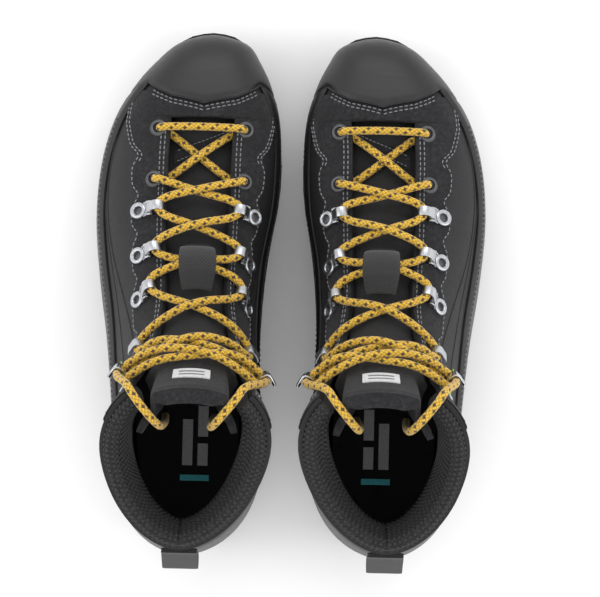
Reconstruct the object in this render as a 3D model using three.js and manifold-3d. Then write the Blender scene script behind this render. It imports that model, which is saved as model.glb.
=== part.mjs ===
// A pair of mid-height mountaineering boots, laced, standing side by side with the toes towards +Y.
// Units are millimetres and +Z is up. The floor is z = 0, and the origin is the middle of the pair on the floor.
// Each boot is built once in its own frame: x outwards (towards the little toe), y from heel to toe, z up.
// The left boot is the mirror image of the right one.
import * as THREE from "three";
import { mergeVertices } from "three/addons/utils/BufferGeometryUtils.js";
import Module from "manifold-3d";

const wasm = await Module();
wasm.setup();

// ---- driving dimensions ----------------------------------------------------------------------------------------

const bootLength = 302.5; // heel to toe, over the sole
const bootHeight = 178; // floor to the front of the collar
const ballWidth = 109.8; // over the sole at the ball of the foot
const clearance = 0.3; // between pieces that rest on each other

const upperThickness = 2.6;
const randThickness = 2.6;
const randHeight = 34; // up the side from its lower edge
const counterThickness = 2.4;
const lugDepth = 4.5;
const treadThickness = 4; // rubber above the lugs
const midsoleLip = 1.5; // how far the midsole stands up round the upper
const boardThickness = 2.4;
const footbedThickness = 4.5;
const footbedRoom = 1.4; // round the footbed, so that it lifts out
const footbedCup = 7; // how far the footbed's rim stands up round the heel
const collarPadThickness = 12;
const padClearance = 0.5;
const tongueThickness = 5;
const tongueGap = 1.9; // between the tongue and the facings over it
const tongueHalfWidth = 37;
const webbingThickness = 1.4;
const keeperHalf = 8;
const laceDiameter = 4.5;
const eyeletRadius = 3.6;
const metalThickness = 1.1;
const loopWidth = 5.6; // of a lace guide's loop, along the lace
const pinRadius = 0.9;
const pinClearance = 0.3;
const laceClearance = 0.6; // inside a loop or a hook
const hookWidth = 6.5;
const pullTabWidth = 20;
const agletLength = 18;

const gapBetween = 12; // between the two soles at the ball

// ---- the last: the outside of the upper as sections from the toe to above the collar ---------------------------

// Each section lies in a plane through its ridge point (on the instep) and its bottom point (under the foot, then
// up the back of the heel). Half widths are measured at the widest level, which is a share of the way up.
const sections = [
  // ridge y, z, bottom y, z, ridge x, bottom x, out, in, level, roundness below, above
  [297.5, 45, 297.5, 45, -12, -12, 0, 0, 0.4, 0.6, 0.8],
  [295.8, 53, 296.3, 37, -12, -12, 9, 9, 0.4, 0.6, 0.8],
  [291.5, 59.5, 292.5, 31, -12, -11.5, 19.5, 19.5, 0.38, 0.55, 0.8],
  [283, 65, 284.5, 27, -11, -10, 28, 26.5, 0.36, 0.5, 0.8],
  [269, 69.5, 271, 24, -9, -7.5, 38, 35.5, 0.33, 0.47, 0.8],
  [251, 74, 250, 21.5, -8, -4, 47.5, 43.5, 0.32, 0.45, 0.82],
  [230, 79.5, 222, 20, -7, -1, 52.5, 47, 0.3, 0.45, 0.84],
  [208, 86, 188, 20.5, -7, 0, 54, 45.5, 0.3, 0.45, 0.86],
  [187, 93.5, 150, 23, -7, 0, 51, 40, 0.3, 0.45, 0.88],
  [168, 101.5, 108, 27, -7.5, -1, 46.5, 37, 0.31, 0.47, 0.9],
  [151, 110.5, 62, 31, -8, -2, 43.5, 37, 0.34, 0.5, 0.92],
  [138, 120, 22, 35.5, -8.5, -3, 42, 38, 0.38, 0.62, 0.93],
  [127, 131, 3.5, 54, -8.5, -3, 41.5, 39, 0.45, 0.85, 0.93],
  [118.5, 144, 1.5, 84, -8.5, -3, 42, 40.5, 0.52, 1, 0.93],
  [112, 156, 6, 112, -8.5, -3, 44, 43, 0.58, 1.08, 0.93],
  [107.5, 167, 8, 135, -8.5, -3, 46, 45.5, 0.6, 1.12, 0.93],
  [104, 178, 5, 153, -8.5, -3, 47, 46.5, 0.6, 1.12, 0.93],
  [101.5, 188.5, 2, 170, -8.5, -3, 47, 46.5, 0.6, 1.12, 0.93],
];
const lastLength = 302.5; // the sole length, height and ball width that the sections above are drawn for
const lastHeight = 178;
const lastWidth = 109.8;

const lengthScale = bootLength / lastLength;
const heightScale = bootHeight / lastHeight;
const widthScale = ballWidth / lastWidth;

function curveThrough(points, t) {
  const i = Math.min(Math.max(Math.floor(t), 0), points.length - 2);
  const u = t - i;
  const at = (k) => {
    if (k >= 0 && k < points.length) return points[k];
    const [edge, inner] = k < 0 ? [points[0], points[1]] : [points.at(-1), points.at(-2)];
    return 2 * edge - inner;
  };
  const [a, b, c, d] = [at(i - 1), at(i), at(i + 1), at(i + 2)];
  return b + 0.5 * u * (c - a + u * (2 * a - 5 * b + 4 * c - d + u * (3 * (b - c) + d - a)));
}

const columns = sections[0].map((_, k) => sections.map((s) => s[k]));

// The sizes of the section at a station, at this boot's length, height and width.
function sectionAt(t) {
  const v = columns.map((column) => curveThrough(column, t));
  return {
    ridge: [v[0] * lengthScale, v[1] * heightScale],
    bottom: [v[2] * lengthScale, v[3] * heightScale],
    ridgeX: v[4] * widthScale,
    bottomX: v[5] * widthScale,
    out: v[6] * widthScale,
    in: v[7] * widthScale,
    level: v[8],
    below: v[9],
    above: v[10],
  };
}

const halfSteps = 40;
const halves = new Map();

// One half of a section as points from the ridge to the bottom, with the distance along it.
function halfSection(t, side) {
  const key = `${t.toFixed(5)}/${side}`;
  if (halves.has(key)) return halves.get(key);
  const s = sectionAt(t);
  const width = side > 0 ? s.out : -s.in;
  const points = [];
  for (let k = 0; k <= halfSteps; k++) {
    const angle = (Math.PI * k) / halfSteps;
    const c = Math.cos(angle);
    const power = c > 0 ? s.above : s.below;
    const rise = Math.abs(c) ** power;
    const level = c > 0 ? s.level + (1 - s.level) * rise : s.level * (1 - rise);
    const across = Math.max(Math.sin(angle), 0) ** power;
    points.push(
      new THREE.Vector3(
        s.bottomX + (s.ridgeX - s.bottomX) * level + width * across,
        s.bottom[0] + (s.ridge[0] - s.bottom[0]) * level,
        s.bottom[1] + (s.ridge[1] - s.bottom[1]) * level,
      ),
    );
  }
  const along = [0];
  for (let k = 1; k < points.length; k++) along.push(along[k - 1] + points[k].distanceTo(points[k - 1]));
  const half = { points, along, girth: along.at(-1) };
  halves.set(key, half);
  return half;
}

// The point at a share f of the way from the ridge (0) to the bottom (1 outside, -1 inside).
function skinPoint(t, f) {
  const half = halfSection(t, f < 0 ? -1 : 1);
  const want = Math.min(Math.abs(f), 1) * half.girth;
  let k = 1;
  while (k < half.along.length - 1 && half.along[k] < want) k++;
  const span = half.along[k] - half.along[k - 1];
  const share = span > 0 ? (want - half.along[k - 1]) / span : 0;
  return half.points[k - 1].clone().lerp(half.points[k], share);
}

// The frame of the skin there: its normal out of the boot, and the direction towards the ridge.
function skinFrame(t, f) {
  const dt = 0.02;
  const df = 0.012;
  const [t0, t1] = [Math.max(t - dt, 0.02), Math.min(t + dt, sections.length - 1)];
  const along = skinPoint(t1, f).sub(skinPoint(t0, f));
  const round = skinPoint(t, Math.min(f + df, 1)).sub(skinPoint(t, Math.max(f - df, -1)));
  const normal = new THREE.Vector3().crossVectors(round, along).normalize();
  const s = sectionAt(t);
  const core = new THREE.Vector3(
    (s.ridgeX + s.bottomX) / 2,
    (s.ridge[0] + s.bottom[0]) / 2,
    (s.ridge[1] + s.bottom[1]) / 2,
  );
  if (normal.dot(skinPoint(t, f).sub(core)) < 0) normal.negate();
  const inwards = round.clone().multiplyScalar(f < 0 ? 1 : -1);
  inwards.addScaledVector(normal, -inwards.dot(normal)).normalize();
  return { normal, inwards };
}

// A point at a height above the skin.
function skin(t, f, height = 0) {
  const point = skinPoint(t, f);
  if (height === 0) return point;
  if (t < 0.05) return point.add(new THREE.Vector3(0, height, 0));
  return point.addScaledVector(skinFrame(t, f).normal, height);
}

// The share of the half girth at a distance from the ridge in millimetres, positive outwards.
function shareAt(t, distance) {
  return distance / halfSection(t, Math.sign(distance) || 1).girth;
}

function spot(t, distance, height = 0) {
  return skin(t, shareAt(t, distance), height);
}

const range = (n) => Array.from({ length: n }, (_, i) => i);
const mix = (a, b, u) => a + (b - a) * u;
const smooth = (u) => {
  const c = Math.min(Math.max(u, 0), 1);
  return c * c * (3 - 2 * c);
};

// ---- closed meshes ---------------------------------------------------------------------------------------------

class Surface {
  constructor() {
    this.index = new Map();
    this.positions = [];
    this.triangles = [];
  }
  vertex(p) {
    const key = [p.x, p.y, p.z].map((v) => Math.round(v * 2000)).join();
    if (!this.index.has(key)) {
      this.index.set(key, this.positions.length / 3);
      this.positions.push(p.x, p.y, p.z);
    }
    return this.index.get(key);
  }
  triangle(a, b, c) {
    const corners = [a, b, c].map((p) => this.vertex(p));
    if (new Set(corners).size === 3) this.triangles.push(...corners);
  }
  quad(a, b, c, d) {
    this.triangle(a, b, c);
    this.triangle(a, c, d);
  }
  geometry() {
    const made = new THREE.BufferGeometry();
    made.setAttribute("position", new THREE.Float32BufferAttribute(this.positions, 3));
    made.setIndex(this.triangles);
    return facingOut(made);
  }
}

function facingOut(geometry) {
  const p = geometry.attributes.position;
  const index = geometry.index.array;
  const [a, b, c] = [new THREE.Vector3(), new THREE.Vector3(), new THREE.Vector3()];
  let volume = 0;
  for (let i = 0; i < index.length; i += 3) {
    a.fromBufferAttribute(p, index[i]);
    b.fromBufferAttribute(p, index[i + 1]);
    c.fromBufferAttribute(p, index[i + 2]);
    volume += a.dot(b.cross(c));
  }
  if (volume < 0) for (let i = 0; i < index.length; i += 3) [index[i], index[i + 1]] = [index[i + 1], index[i]];
  return geometry;
}

// A loft through rings of points. An end ring that has an area is closed by a fan round its middle.
function loft(rings) {
  const made = new Surface();
  for (let i = 0; i + 1 < rings.length; i++) {
    const [near, far] = [rings[i], rings[i + 1]];
    near.forEach((p, k) => {
      const next = (k + 1) % near.length;
      made.quad(p, near[next], far[next], far[k]);
    });
  }
  const cap = (ring, flip) => {
    const middle = ring.reduce((sum, p) => sum.add(p), new THREE.Vector3()).divideScalar(ring.length);
    const corners = ring.map((p, k) => [p.clone().sub(middle), ring[(k + 1) % ring.length].clone().sub(middle)]);
    const area = corners.reduce((sum, [p, q]) => sum.add(p.cross(q)), new THREE.Vector3());
    if (area.length() < 1e-3) return;
    ring.forEach((p, k) => {
      const q = ring[(k + 1) % ring.length];
      if (flip) made.triangle(middle, q, p);
      else made.triangle(middle, p, q);
    });
  };
  cap(rings[0], true);
  cap(rings.at(-1), false);
  return made.geometry();
}

// A shell between an outer and an inner grid of points, over the cells that are present.
function shell(rows, cols, outer, inner, present = () => true) {
  const made = new Surface();
  const has = (i, j) => i >= 0 && j >= 0 && i < rows - 1 && j < cols - 1 && present(i, j);
  const grids = [outer, inner].map((f) => range(rows).map((i) => range(cols).map((j) => f(i, j))));
  const [o, n] = grids;
  const joined = (i, j) => o[i][j].distanceTo(o[i][0]) < 1e-3 && j === cols - 1;
  for (const i of range(rows - 1)) {
    for (const j of range(cols - 1)) {
      if (!has(i, j)) continue;
      made.quad(o[i][j], o[i][j + 1], o[i + 1][j + 1], o[i + 1][j]);
      made.quad(n[i][j], n[i + 1][j], n[i + 1][j + 1], n[i][j + 1]);
      if (!has(i - 1, j)) made.quad(o[i][j], n[i][j], n[i][j + 1], o[i][j + 1]);
      if (!has(i + 1, j)) made.quad(o[i + 1][j + 1], n[i + 1][j + 1], n[i + 1][j], o[i + 1][j]);
      const seam = (i2, j2) => joined(i2, cols - 1) && (j2 === 0 || j2 === cols - 1);
      if (!has(i, j - 1) && !(j === 0 && seam(i, 0) && seam(i + 1, 0)))
        made.quad(o[i + 1][j], n[i + 1][j], n[i][j], o[i][j]);
      if (!has(i, j + 1) && !(j === cols - 2 && seam(i, 0) && seam(i + 1, 0)))
        made.quad(o[i][j + 1], n[i][j + 1], n[i + 1][j + 1], o[i + 1][j + 1]);
    }
  }
  return made.geometry();
}

function solid(geometry) {
  const bare = geometry.clone();
  for (const name of ["normal", "uv", "uv1"]) bare.deleteAttribute(name);
  const merged = mergeVertices(bare, 1e-4);
  return new wasm.Manifold(
    new wasm.Mesh({
      numProp: 3,
      vertProperties: merged.attributes.position.array,
      triVerts: new Uint32Array(merged.index.array),
    }),
  );
}

function geometryOf(manifold) {
  const mesh = manifold.getMesh();
  const points = new Float32Array(mesh.numVert * 3);
  for (let i = 0; i < mesh.numVert; i++)
    points.set(mesh.vertProperties.subarray(i * mesh.numProp, i * mesh.numProp + 3), i * 3);
  const made = new THREE.BufferGeometry();
  made.setAttribute("position", new THREE.BufferAttribute(points, 3));
  made.setIndex(new THREE.BufferAttribute(mesh.triVerts, 1));
  return made;
}

const cut = (body, ...tools) => geometryOf(tools.reduce((left, tool) => left.subtract(solid(tool)), solid(body)));
const join = (...bodies) => geometryOf(bodies.map(solid).reduce((sum, body) => sum.add(body)));

// ---- the sole --------------------------------------------------------------------------------------------------

// The sole's outline: y, then its outer and inner edges.
const soleOutline = [
  [0, -2.5, -2.5],
  [1.2, 5.5, -10.5],
  [5, 14.5, -20],
  [14, 25.5, -32],
  [27, 33.5, -40],
  [45, 38, -43.5],
  [70, 40, -43.5],
  [100, 43, -43],
  [130, 47.5, -43.5],
  [158, 52.5, -45.5],
  [180, 55.3, -48.5],
  [203, 56, -52.5],
  [226, 53.5, -53.8],
  [250, 46.8, -51.3],
  [270, 35.8, -46.7],
  [286, 21.5, -40],
  [296, 9, -31.5],
  [301, -1, -23],
  [302.5, -12, -12],
];
const outlineColumns = [0, 1, 2].map((k) => soleOutline.map((row) => row[k]));

// A row of the outline, set in by a margin.
function outlineRow(t, margin = 0) {
  const [y, out, inn] = outlineColumns.map((column) => curveThrough(column, t));
  const middle = (out + inn) / 2;
  const half = Math.max((out - inn) / 2 - margin / widthScale, 0);
  const heel = soleOutline[0][0];
  const length = soleOutline.at(-1)[0] - heel;
  const shrink = 1 - (2 * margin) / (length * lengthScale);
  const inset = heel + margin / lengthScale + (y - heel) * shrink;
  return { y: inset * lengthScale, out: (middle + half) * widthScale, in: (middle - half) * widthScale };
}

const toeSpring = 16;
const heelBevel = 3.5;
const flatFrom = 25; // the tread touches the floor between these two
const flatTo = 215;

function treadZ(y) {
  const toe = Math.max(y / lengthScale - flatTo, 0) / (lastLength - flatTo);
  const heel = Math.max(flatFrom - y / lengthScale, 0) / flatFrom;
  return toeSpring * toe ** 2 + heelBevel * heel ** 2;
}

// The level of the feather line, where the upper sits on the midsole.
function featherZ(y) {
  const stations = range(100).map((k) => sectionAt(0.6 + (k * 10.4) / 99).bottom);
  const after = stations.findIndex(([by]) => by <= y);
  if (after === 0) return stations[0][1];
  if (after < 0) return stations.at(-1)[1];
  const [y1, z1] = stations[after - 1];
  const [y2, z2] = stations[after];
  return mix(z1, z2, (y1 - y) / (y1 - y2));
}

const ring = (points) => points.map(([x, y, z]) => new THREE.Vector3(x, y, z));
const outlineSteps = 30;
const outlineTimes = range(outlineSteps + 1).map((k) => (k * (soleOutline.length - 1)) / outlineSteps);
const bluntEnd = 4; // inner layers end where they would be narrower than this

function innerTimes(margin) {
  return outlineTimes.filter((t) => outlineRow(t, margin).out - outlineRow(t, margin).in > bluntEnd);
}

// A slab with the sole's outline, set in by a margin, between two levels that are functions of y.
function slab(margin, low, high) {
  const rings = innerTimes(margin).map((t) => {
    const edge = outlineRow(t, margin);
    return ring([
      [edge.out, edge.y, high(edge.y)],
      [edge.out, edge.y, low(edge.y)],
      [edge.in, edge.y, low(edge.y)],
      [edge.in, edge.y, high(edge.y)],
    ]);
  });
  return loft(rings);
}

const treadTop = (y) => treadZ(y) + lugDepth + treadThickness;
const lugLength = 13;
const lugWidth = 17;
const lugSink = 1.2; // how far a lug's body runs into the tread

function box(width, depth, height) {
  return new THREE.BoxGeometry(width, depth, height);
}

function block(width, depth, height, x, y, turn = 0) {
  return box(width, depth, height).rotateZ(turn).translate(x, y, height / 2 - 1);
}

// Lugs run along both edges, with a row of studs between them, and the heel has its own block.
function outsole() {
  const lugs = [];
  const lugHeight = toeSpring + lugDepth + 4;
  const add = (x, y, width, depth, turn) =>
    lugs.push(block(width, depth, lugHeight, x * widthScale, y * lengthScale, turn));
  for (const y of [20, 40, 60]) {
    const edge = outlineRow((y / 70) * 6);
    for (const side of [1, -1]) {
      const x = (side > 0 ? edge.out : edge.in) / widthScale - side * 9;
      add(x, y, lugWidth, lugLength, side * 0.12);
    }
    add(-2, y + 6, 14, 9, 0);
  }
  add(-2, 79, 74, 9, 0);
  for (const y of [118, 139, 160, 181, 202, 223, 244, 264]) {
    const t = outlineTimes.find((k) => outlineRow(k).y / lengthScale >= y);
    const edge = outlineRow(t);
    for (const side of [1, -1]) {
      const x = (side > 0 ? edge.out : edge.in) / widthScale - side * 9;
      add(x, y, lugWidth + 3, lugLength, -side * 0.2);
    }
    add(edge.out / widthScale / 2 + edge.in / widthScale / 2, y + 9, 20, 10, 0.3);
  }
  add(-12, 287, 34, 11, 0);
  const lugZone = solid(slab(1.5, treadZ, (y) => treadZ(y) + lugDepth + lugSink));
  const blocks = lugs.map(solid).reduce((sum, lug) => sum.add(lug));
  const tread = solid(slab(0.8, (y) => treadZ(y) + lugDepth, treadTop));
  return geometryOf(tread.add(blocks.intersect(lugZone)));
}

// The midsole is a slab whose top is hollowed to the upper and the rand.
function midsole() {
  const low = (y) => treadTop(y) + clearance;
  const high = (y) => Math.max(featherZ(y) + midsoleLip, low(y) + 3);
  const rings = outlineTimes.map((t) => {
    const edge = outlineRow(t, 0.6);
    const waist = outlineRow(t, 2.4);
    const foot = outlineRow(t, 0.4);
    const middle = (high(waist.y) + low(waist.y)) / 2;
    return ring([
      [edge.out, edge.y, high(edge.y)],
      [waist.out, waist.y, middle],
      [foot.out, foot.y, low(foot.y)],
      [foot.in, foot.y, low(foot.y)],
      [waist.in, waist.y, middle],
      [edge.in, edge.y, high(edge.y)],
    ]);
  });
  const covered = 2 * clearance + Math.max(randThickness, counterThickness);
  return cut(loft(rings), lastBody(clearance), lowerBand(covered));
}

// ---- inside the upper ------------------------------------------------------------------------------------------

const insetBoard = 9; // from the sole's edge to the edge of the insole board
const boardLow = (y) => featherZ(y) + upperThickness + clearance;
const boardHigh = (y) => boardLow(y) + boardThickness;
const footbedLow = (y) => boardHigh(y) + clearance;

// The part of a solid that lies inside the upper with a gap, without any slivers that the cut leaves.
function inLast(geometry, gap) {
  const pieces = solid(geometry)
    .intersect(solid(lastBody(-upperThickness - gap)))
    .decompose();
  return geometryOf(pieces.sort((a, b) => b.volume() - a.volume())[0]);
}

const insoleBoard = () => inLast(slab(insetBoard, boardLow, boardHigh), clearance);

function footbed() {
  const rings = innerTimes(insetBoard + 0.5).map((t) => {
    const edge = outlineRow(t, insetBoard + 0.5);
    const middle = (edge.out + edge.in) / 2;
    const half = (edge.out - edge.in) / 2;
    const heel = 1 - smooth((edge.y / lengthScale - 60) / 80);
    const low = footbedLow(edge.y);
    const top = low + footbedThickness;
    const at = (share, z) => [middle + half * share, edge.y, z];
    return ring([
      at(1, top + footbedCup * heel),
      at(0.94, low),
      at(-0.94, low),
      at(-1, top + footbedCup * heel),
      at(-0.78, top + footbedCup * heel * 0.25),
      at(0, top),
      at(0.78, top + footbedCup * heel * 0.25),
    ]);
  });
  return inLast(loft(rings), footbedRoom);
}

// ---- the upper -------------------------------------------------------------------------------------------------

const throatStart = 5.05; // the station where the vamp ends and the tongue shows
const throatHalf = 18.5; // from the ridge to the edge of a facing, along the lacing
const collarHalf = 36; // the same at the collar

function throatEdge(t) {
  return mix(throatHalf, collarHalf, smooth((t - 9.5) / 4.5));
}

// The upper's top edge drops from the facing's corner to the back of the heel.
function upperEnd(f) {
  return mix(15.75, 15.4, smooth((Math.abs(f) - 0.34) / 0.3));
}

// The share of the half girth where a section has come down to a height above its bottom.
function shareAtHeight(t, side, height) {
  const half = halfSection(t, side);
  const bottom = half.points.at(-1).z;
  const k = half.points.findIndex((p) => p.z - bottom < height);
  if (k <= 0) return 0;
  const [over, under] = [half.points[k - 1].z - bottom, half.points[k].z - bottom];
  return mix(half.along[k - 1], half.along[k], (over - height) / (over - under)) / half.girth;
}

// The skin's own net of rows (from the toe to the top line) and columns (from the ridge, round the outer side to the
// bottom, and back up the inner side). Everything that lies on the skin uses the same net, so that it fits.
const toeRows = 9;
const netRows = 26;
const capRow = 8; // the toe cap's rear edge
const randRow = 19; // the rand's rear end
const bottomColumn = 8;
const netColumns = 2 * bottomColumn + 1;
const featherHeight = 1.2;

function columnShares(t, side) {
  const heel = smooth((t - 9.6) / 1.4);
  const edge = mix(0.2, Math.abs(shareAt(t, side * throatEdge(t))), smooth(t / 4));
  const feather = mix(shareAtHeight(t, side, featherHeight), 0.93, heel);
  const height = Math.min(randHeight, sectionAt(t).ridge[1] - sectionAt(t).bottom[1]);
  const top = mix(Math.max(shareAtHeight(t, side, height), edge + 0.15), 0.55, smooth((t - 9.4) / 1.6));
  const line = Math.min(top, feather - 0.15);
  return [0, edge, mix(edge, line, 0.33), mix(edge, line, 0.66), line]
    .concat([mix(line, feather, 0.33), mix(line, feather, 0.67), feather, 1]);
}

function columnShare(t, j) {
  const side = j <= bottomColumn ? 1 : -1;
  const k = side > 0 ? j : netColumns - 1 - j;
  return side * columnShares(t, side)[k];
}

function netPoint(i, j, height) {
  if (i <= toeRows) {
    const t = (throatStart * i) / toeRows;
    return skin(t, columnShare(t, j), height);
  }
  const row = (i - toeRows) / (netRows - toeRows);
  const end = upperEnd(columnShare(mix(throatStart, 15, row), j));
  const t = mix(throatStart, end, row);
  return skin(t, columnShare(t, j), height);
}

const knots = new Map();

// Between its rows the net runs straight.
function net(i, j, height) {
  const low = Math.min(Math.floor(i), netRows - 1);
  const corners = [low, low + 1].map((row) => {
    const key = `${row}/${j}/${height.toFixed(4)}`;
    if (!knots.has(key)) knots.set(key, netPoint(row, j, height));
    return knots.get(key);
  });
  return corners[0].clone().lerp(corners[1], i - low);
}

// Everything inside the skin at a height, as one solid with a flat top.
function lastBody(height) {
  const made = new Surface();
  const rows = range(netRows + 1).map((i) => range(netColumns).map((j) => net(i, j, height)));
  for (const i of range(netRows))
    for (const j of range(netColumns - 1))
      made.quad(rows[i][j], rows[i][j + 1], rows[i + 1][j + 1], rows[i + 1][j]);
  const top = rows[netRows];
  const middle = top.reduce((sum, p) => sum.add(p), new THREE.Vector3()).divideScalar(top.length);
  for (const j of range(netColumns - 1)) made.triangle(top[j], top[j + 1], middle);
  return made.geometry();
}

// The band of skin that the rand and the heel counter cover, out to a height.
function lowerBand(height) {
  return shell(
    netRows + 1,
    netColumns,
    (i, j) => net(i, j, height),
    (i, j) => net(i, j, 0),
    (i, j) => i < netRows - 2 && (i < capRow || (j >= 4 && j < netColumns - 5)),
  );
}

function upperShell() {
  const open = (i, j) => i >= toeRows && (j === 0 || j === netColumns - 2);
  const body = shell(
    netRows + 1,
    netColumns,
    (i, j) => net(i, j, 0),
    (i, j) => net(i, j, -upperThickness),
    (i, j) => !open(i, j),
  );
  return cut(body, ...eyelets.flatMap(({ t, s }) => [1, -1].map((side) => eyeletHole(t, side * s))));
}

// The two lower rows of lace holes: station, and distance from the ridge.
const eyelets = [
  { t: 5.38, s: 25.5 },
  { t: 6.72, s: 26.5 },
];

function placed(geometry, t, distance, height = 0) {
  const { normal, inwards } = skinFrame(t, shareAt(t, distance));
  const along = new THREE.Vector3().crossVectors(normal, inwards);
  const matrix = new THREE.Matrix4().makeBasis(inwards, along, normal);
  matrix.setPosition(spot(t, distance, height));
  return geometry.applyMatrix4(matrix);
}

function eyeletHole(t, distance) {
  const hole = new THREE.CylinderGeometry(eyeletRadius, eyeletRadius, 12, 12).rotateX(Math.PI / 2);
  return placed(hole, t, distance);
}

// The rubber rand runs round the toe, which it covers, and back along both sides.
function rand() {
  const ends = (j) => j >= 4 && j < netColumns - 5;
  return shell(
    randRow + 1,
    netColumns,
    (i, j) => net(i, j, clearance + randThickness),
    (i, j) => net(i, j, clearance),
    (i, j) => (i < capRow || ends(j)) && j !== bottomColumn - 1 && j !== bottomColumn,
  );
}

// The heel counter is a moulded cup round the back.
function heelCounter() {
  const at = (i) => (i === 0 ? randRow + 0.06 : randRow + i);
  return shell(
    netRows - 2 - randRow,
    netColumns,
    (i, j) => net(at(i), j, clearance + counterThickness),
    (i, j) => net(at(i), j, clearance),
    (i, j) => j >= 4 && j < netColumns - 5,
  );
}

// The collar is a soft pad inside the top of the upper, open at the front.
function collar() {
  const rows = 6;
  const first = 1; // its front edges follow the edges of the facings
  const place = (i, j, inner) => {
    const k = Math.min(j, netColumns - 1 - j);
    const back = smooth((k - first) / (bottomColumn - first));
    const row = i / (rows - 1);
    const bulge = Math.sin(Math.PI * mix(0.1, 0.86, row)) ** 0.6 * mix(0.75, 1, smooth((k - first) / 2));
    const height = -upperThickness - padClearance - (inner ? collarPadThickness * bulge : 0);
    return net(mix(netRows - mix(2.6, 4.6, back), netRows, row), j, height);
  };
  return shell(
    rows,
    netColumns,
    (i, j) => place(i, j, false),
    (i, j) => place(i, j, true),
    (i, j) => j >= first && j < netColumns - 1 - first,
  );
}

// The tongue lies under the facings, and its wings reach back inside the collar.
const tongueStart = 4.75;
const tongueEnd = 16.4;

function tongueHalf(t) {
  return mix(mix(20, tongueHalfWidth, smooth((t - 4.8) / 3)), 58, smooth((t - 13.2) / 1.6));
}

function tongueTop(t, s) {
  const under = -(upperThickness + tongueGap);
  const room = laceDiameter + 2 * clearance;
  const low = under - room * (1 - smooth((t - 6.9) / 0.8));
  const wing = collarPadThickness + 2 * clearance;
  return low - wing * smooth((Math.abs(s) - 21) / 13) * smooth((t - 12.9) / 1);
}

function tongue() {
  const [rows, cols] = [18, 11];
  const place = (i, j, inner) => {
    const across = (2 * j) / (cols - 1) - 1;
    const drop = 1.1 * smooth((Math.abs(across) - 0.3) / 0.4);
    const t = mix(tongueStart, tongueEnd - drop, i / (rows - 1));
    const s = tongueHalf(t) * across;
    const thick = tongueThickness + 5 * smooth((t - 13) / 2.5) * (1 - smooth((Math.abs(s) - 14) / 16));
    return spot(t, s, tongueTop(t, s) - (inner ? thick : 0));
  };
  return shell(
    rows,
    cols,
    (i, j) => place(i, j, false),
    (i, j) => place(i, j, true),
  );
}

// ---- what holds the lace ---------------------------------------------------------------------------------------

// Stations and distances from the ridge of the fixings, on either side.
const guides = { guide_1: { t: 7.5, s: 27 }, guide_2: { t: 8.6, s: 28 }, guide_3: { t: 9.65, s: 31 } };
const hooks = { hook_1: { t: 11.5, s: 37, wraps: 1 }, hook_2: { t: 13.4, s: 40.5, wraps: 2 } };

function outlineShape(points) {
  return new THREE.Shape(points.map(([x, y]) => new THREE.Vector2(x, y)));
}

function arc(x, y, radius, from, to, steps) {
  return range(steps + 1).map((k) => {
    const angle = mix(from, to, k / steps);
    return [x + radius * Math.cos(angle), y + radius * Math.sin(angle)];
  });
}

// Extrudes an outline drawn inwards (x) and up (y), centred on the boot's length.
function across(shape, width) {
  const made = new THREE.ExtrudeGeometry(shape, { depth: width, bevelEnabled: false });
  return made.rotateX(Math.PI / 2).translate(0, width / 2, 0);
}

const loopRadius = laceDiameter / 2 + laceClearance;
const loopIn = 5.2; // from a guide's pin to the middle of the lace in its loop
const loopUp = clearance + metalThickness + loopRadius;
const pinUp = 3;

// A guide's loop: a strip folded round the lace and round its pin.
function guideLoop() {
  const outer = loopRadius + metalThickness;
  const eye = pinRadius + pinClearance + 1;
  const rise = Math.atan2(loopUp - pinUp, loopIn);
  const lean = Math.asin((outer - eye) / Math.hypot(loopIn, loopUp - pinUp));
  const [start, end] = [Math.PI / 2 + rise + lean, -Math.PI / 2 + rise - lean];
  const shape = outlineShape([
    ...arc(loopIn, loopUp, outer, end, start, 7),
    ...arc(0, pinUp, eye, start, end + 2 * Math.PI, 3),
  ]);
  const hole = (x, y, radius, count) =>
    new THREE.Path(
      arc(x, y, radius, 0, 2 * Math.PI, count)
        .slice(0, -1)
        .map(([u, v]) => new THREE.Vector2(u, v)),
    );
  shape.holes.push(hole(loopIn, loopUp, loopRadius, 10), hole(0, pinUp, pinRadius + pinClearance, 6));
  return across(shape, loopWidth);
}

const ringRadius = 4.9;
const ringBore = 2.5;
const ringHeight = 2.6;
const ringOut = 8.2; // from the pin to the middle of the ring
const earWidth = 1.2;

// A guide's base: a hollow rivet, and two ears that carry the pin.
function guideBase() {
  const rivet = new THREE.LatheGeometry(
    [
      [ringBore, clearance],
      [ringRadius, clearance],
      [ringRadius, ringHeight - 0.6],
      [ringRadius - 0.8, ringHeight],
      [ringBore, ringHeight],
      [ringBore, clearance],
    ].map(([r, z]) => new THREE.Vector2(r, z)),
    12,
  )
    .rotateX(Math.PI / 2)
    .translate(-ringOut, 0, 0);
  const span = loopWidth + 2 * pinClearance + 2 * earWidth;
  const neckFrom = -ringOut + ringBore + 0.8;
  const neckTo = -(pinRadius + pinClearance + 1 + 0.3);
  const neck = box(neckTo - neckFrom, span, 1.5).translate((neckFrom + neckTo) / 2, 0, clearance + 0.75);
  const ear = (side) =>
    box(pinRadius + 0.6 - neckFrom, earWidth, pinUp + 1.3 - clearance).translate(
      (pinRadius + 0.6 + neckFrom) / 2,
      (side * (span - earWidth)) / 2,
      (pinUp + 1.3 + clearance) / 2,
    );
  const pin = new THREE.CylinderGeometry(pinRadius, pinRadius, span - 0.4, 8).translate(0, 0, pinUp);
  return join(rivet, neck, ear(1), ear(-1), pin);
}

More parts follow.
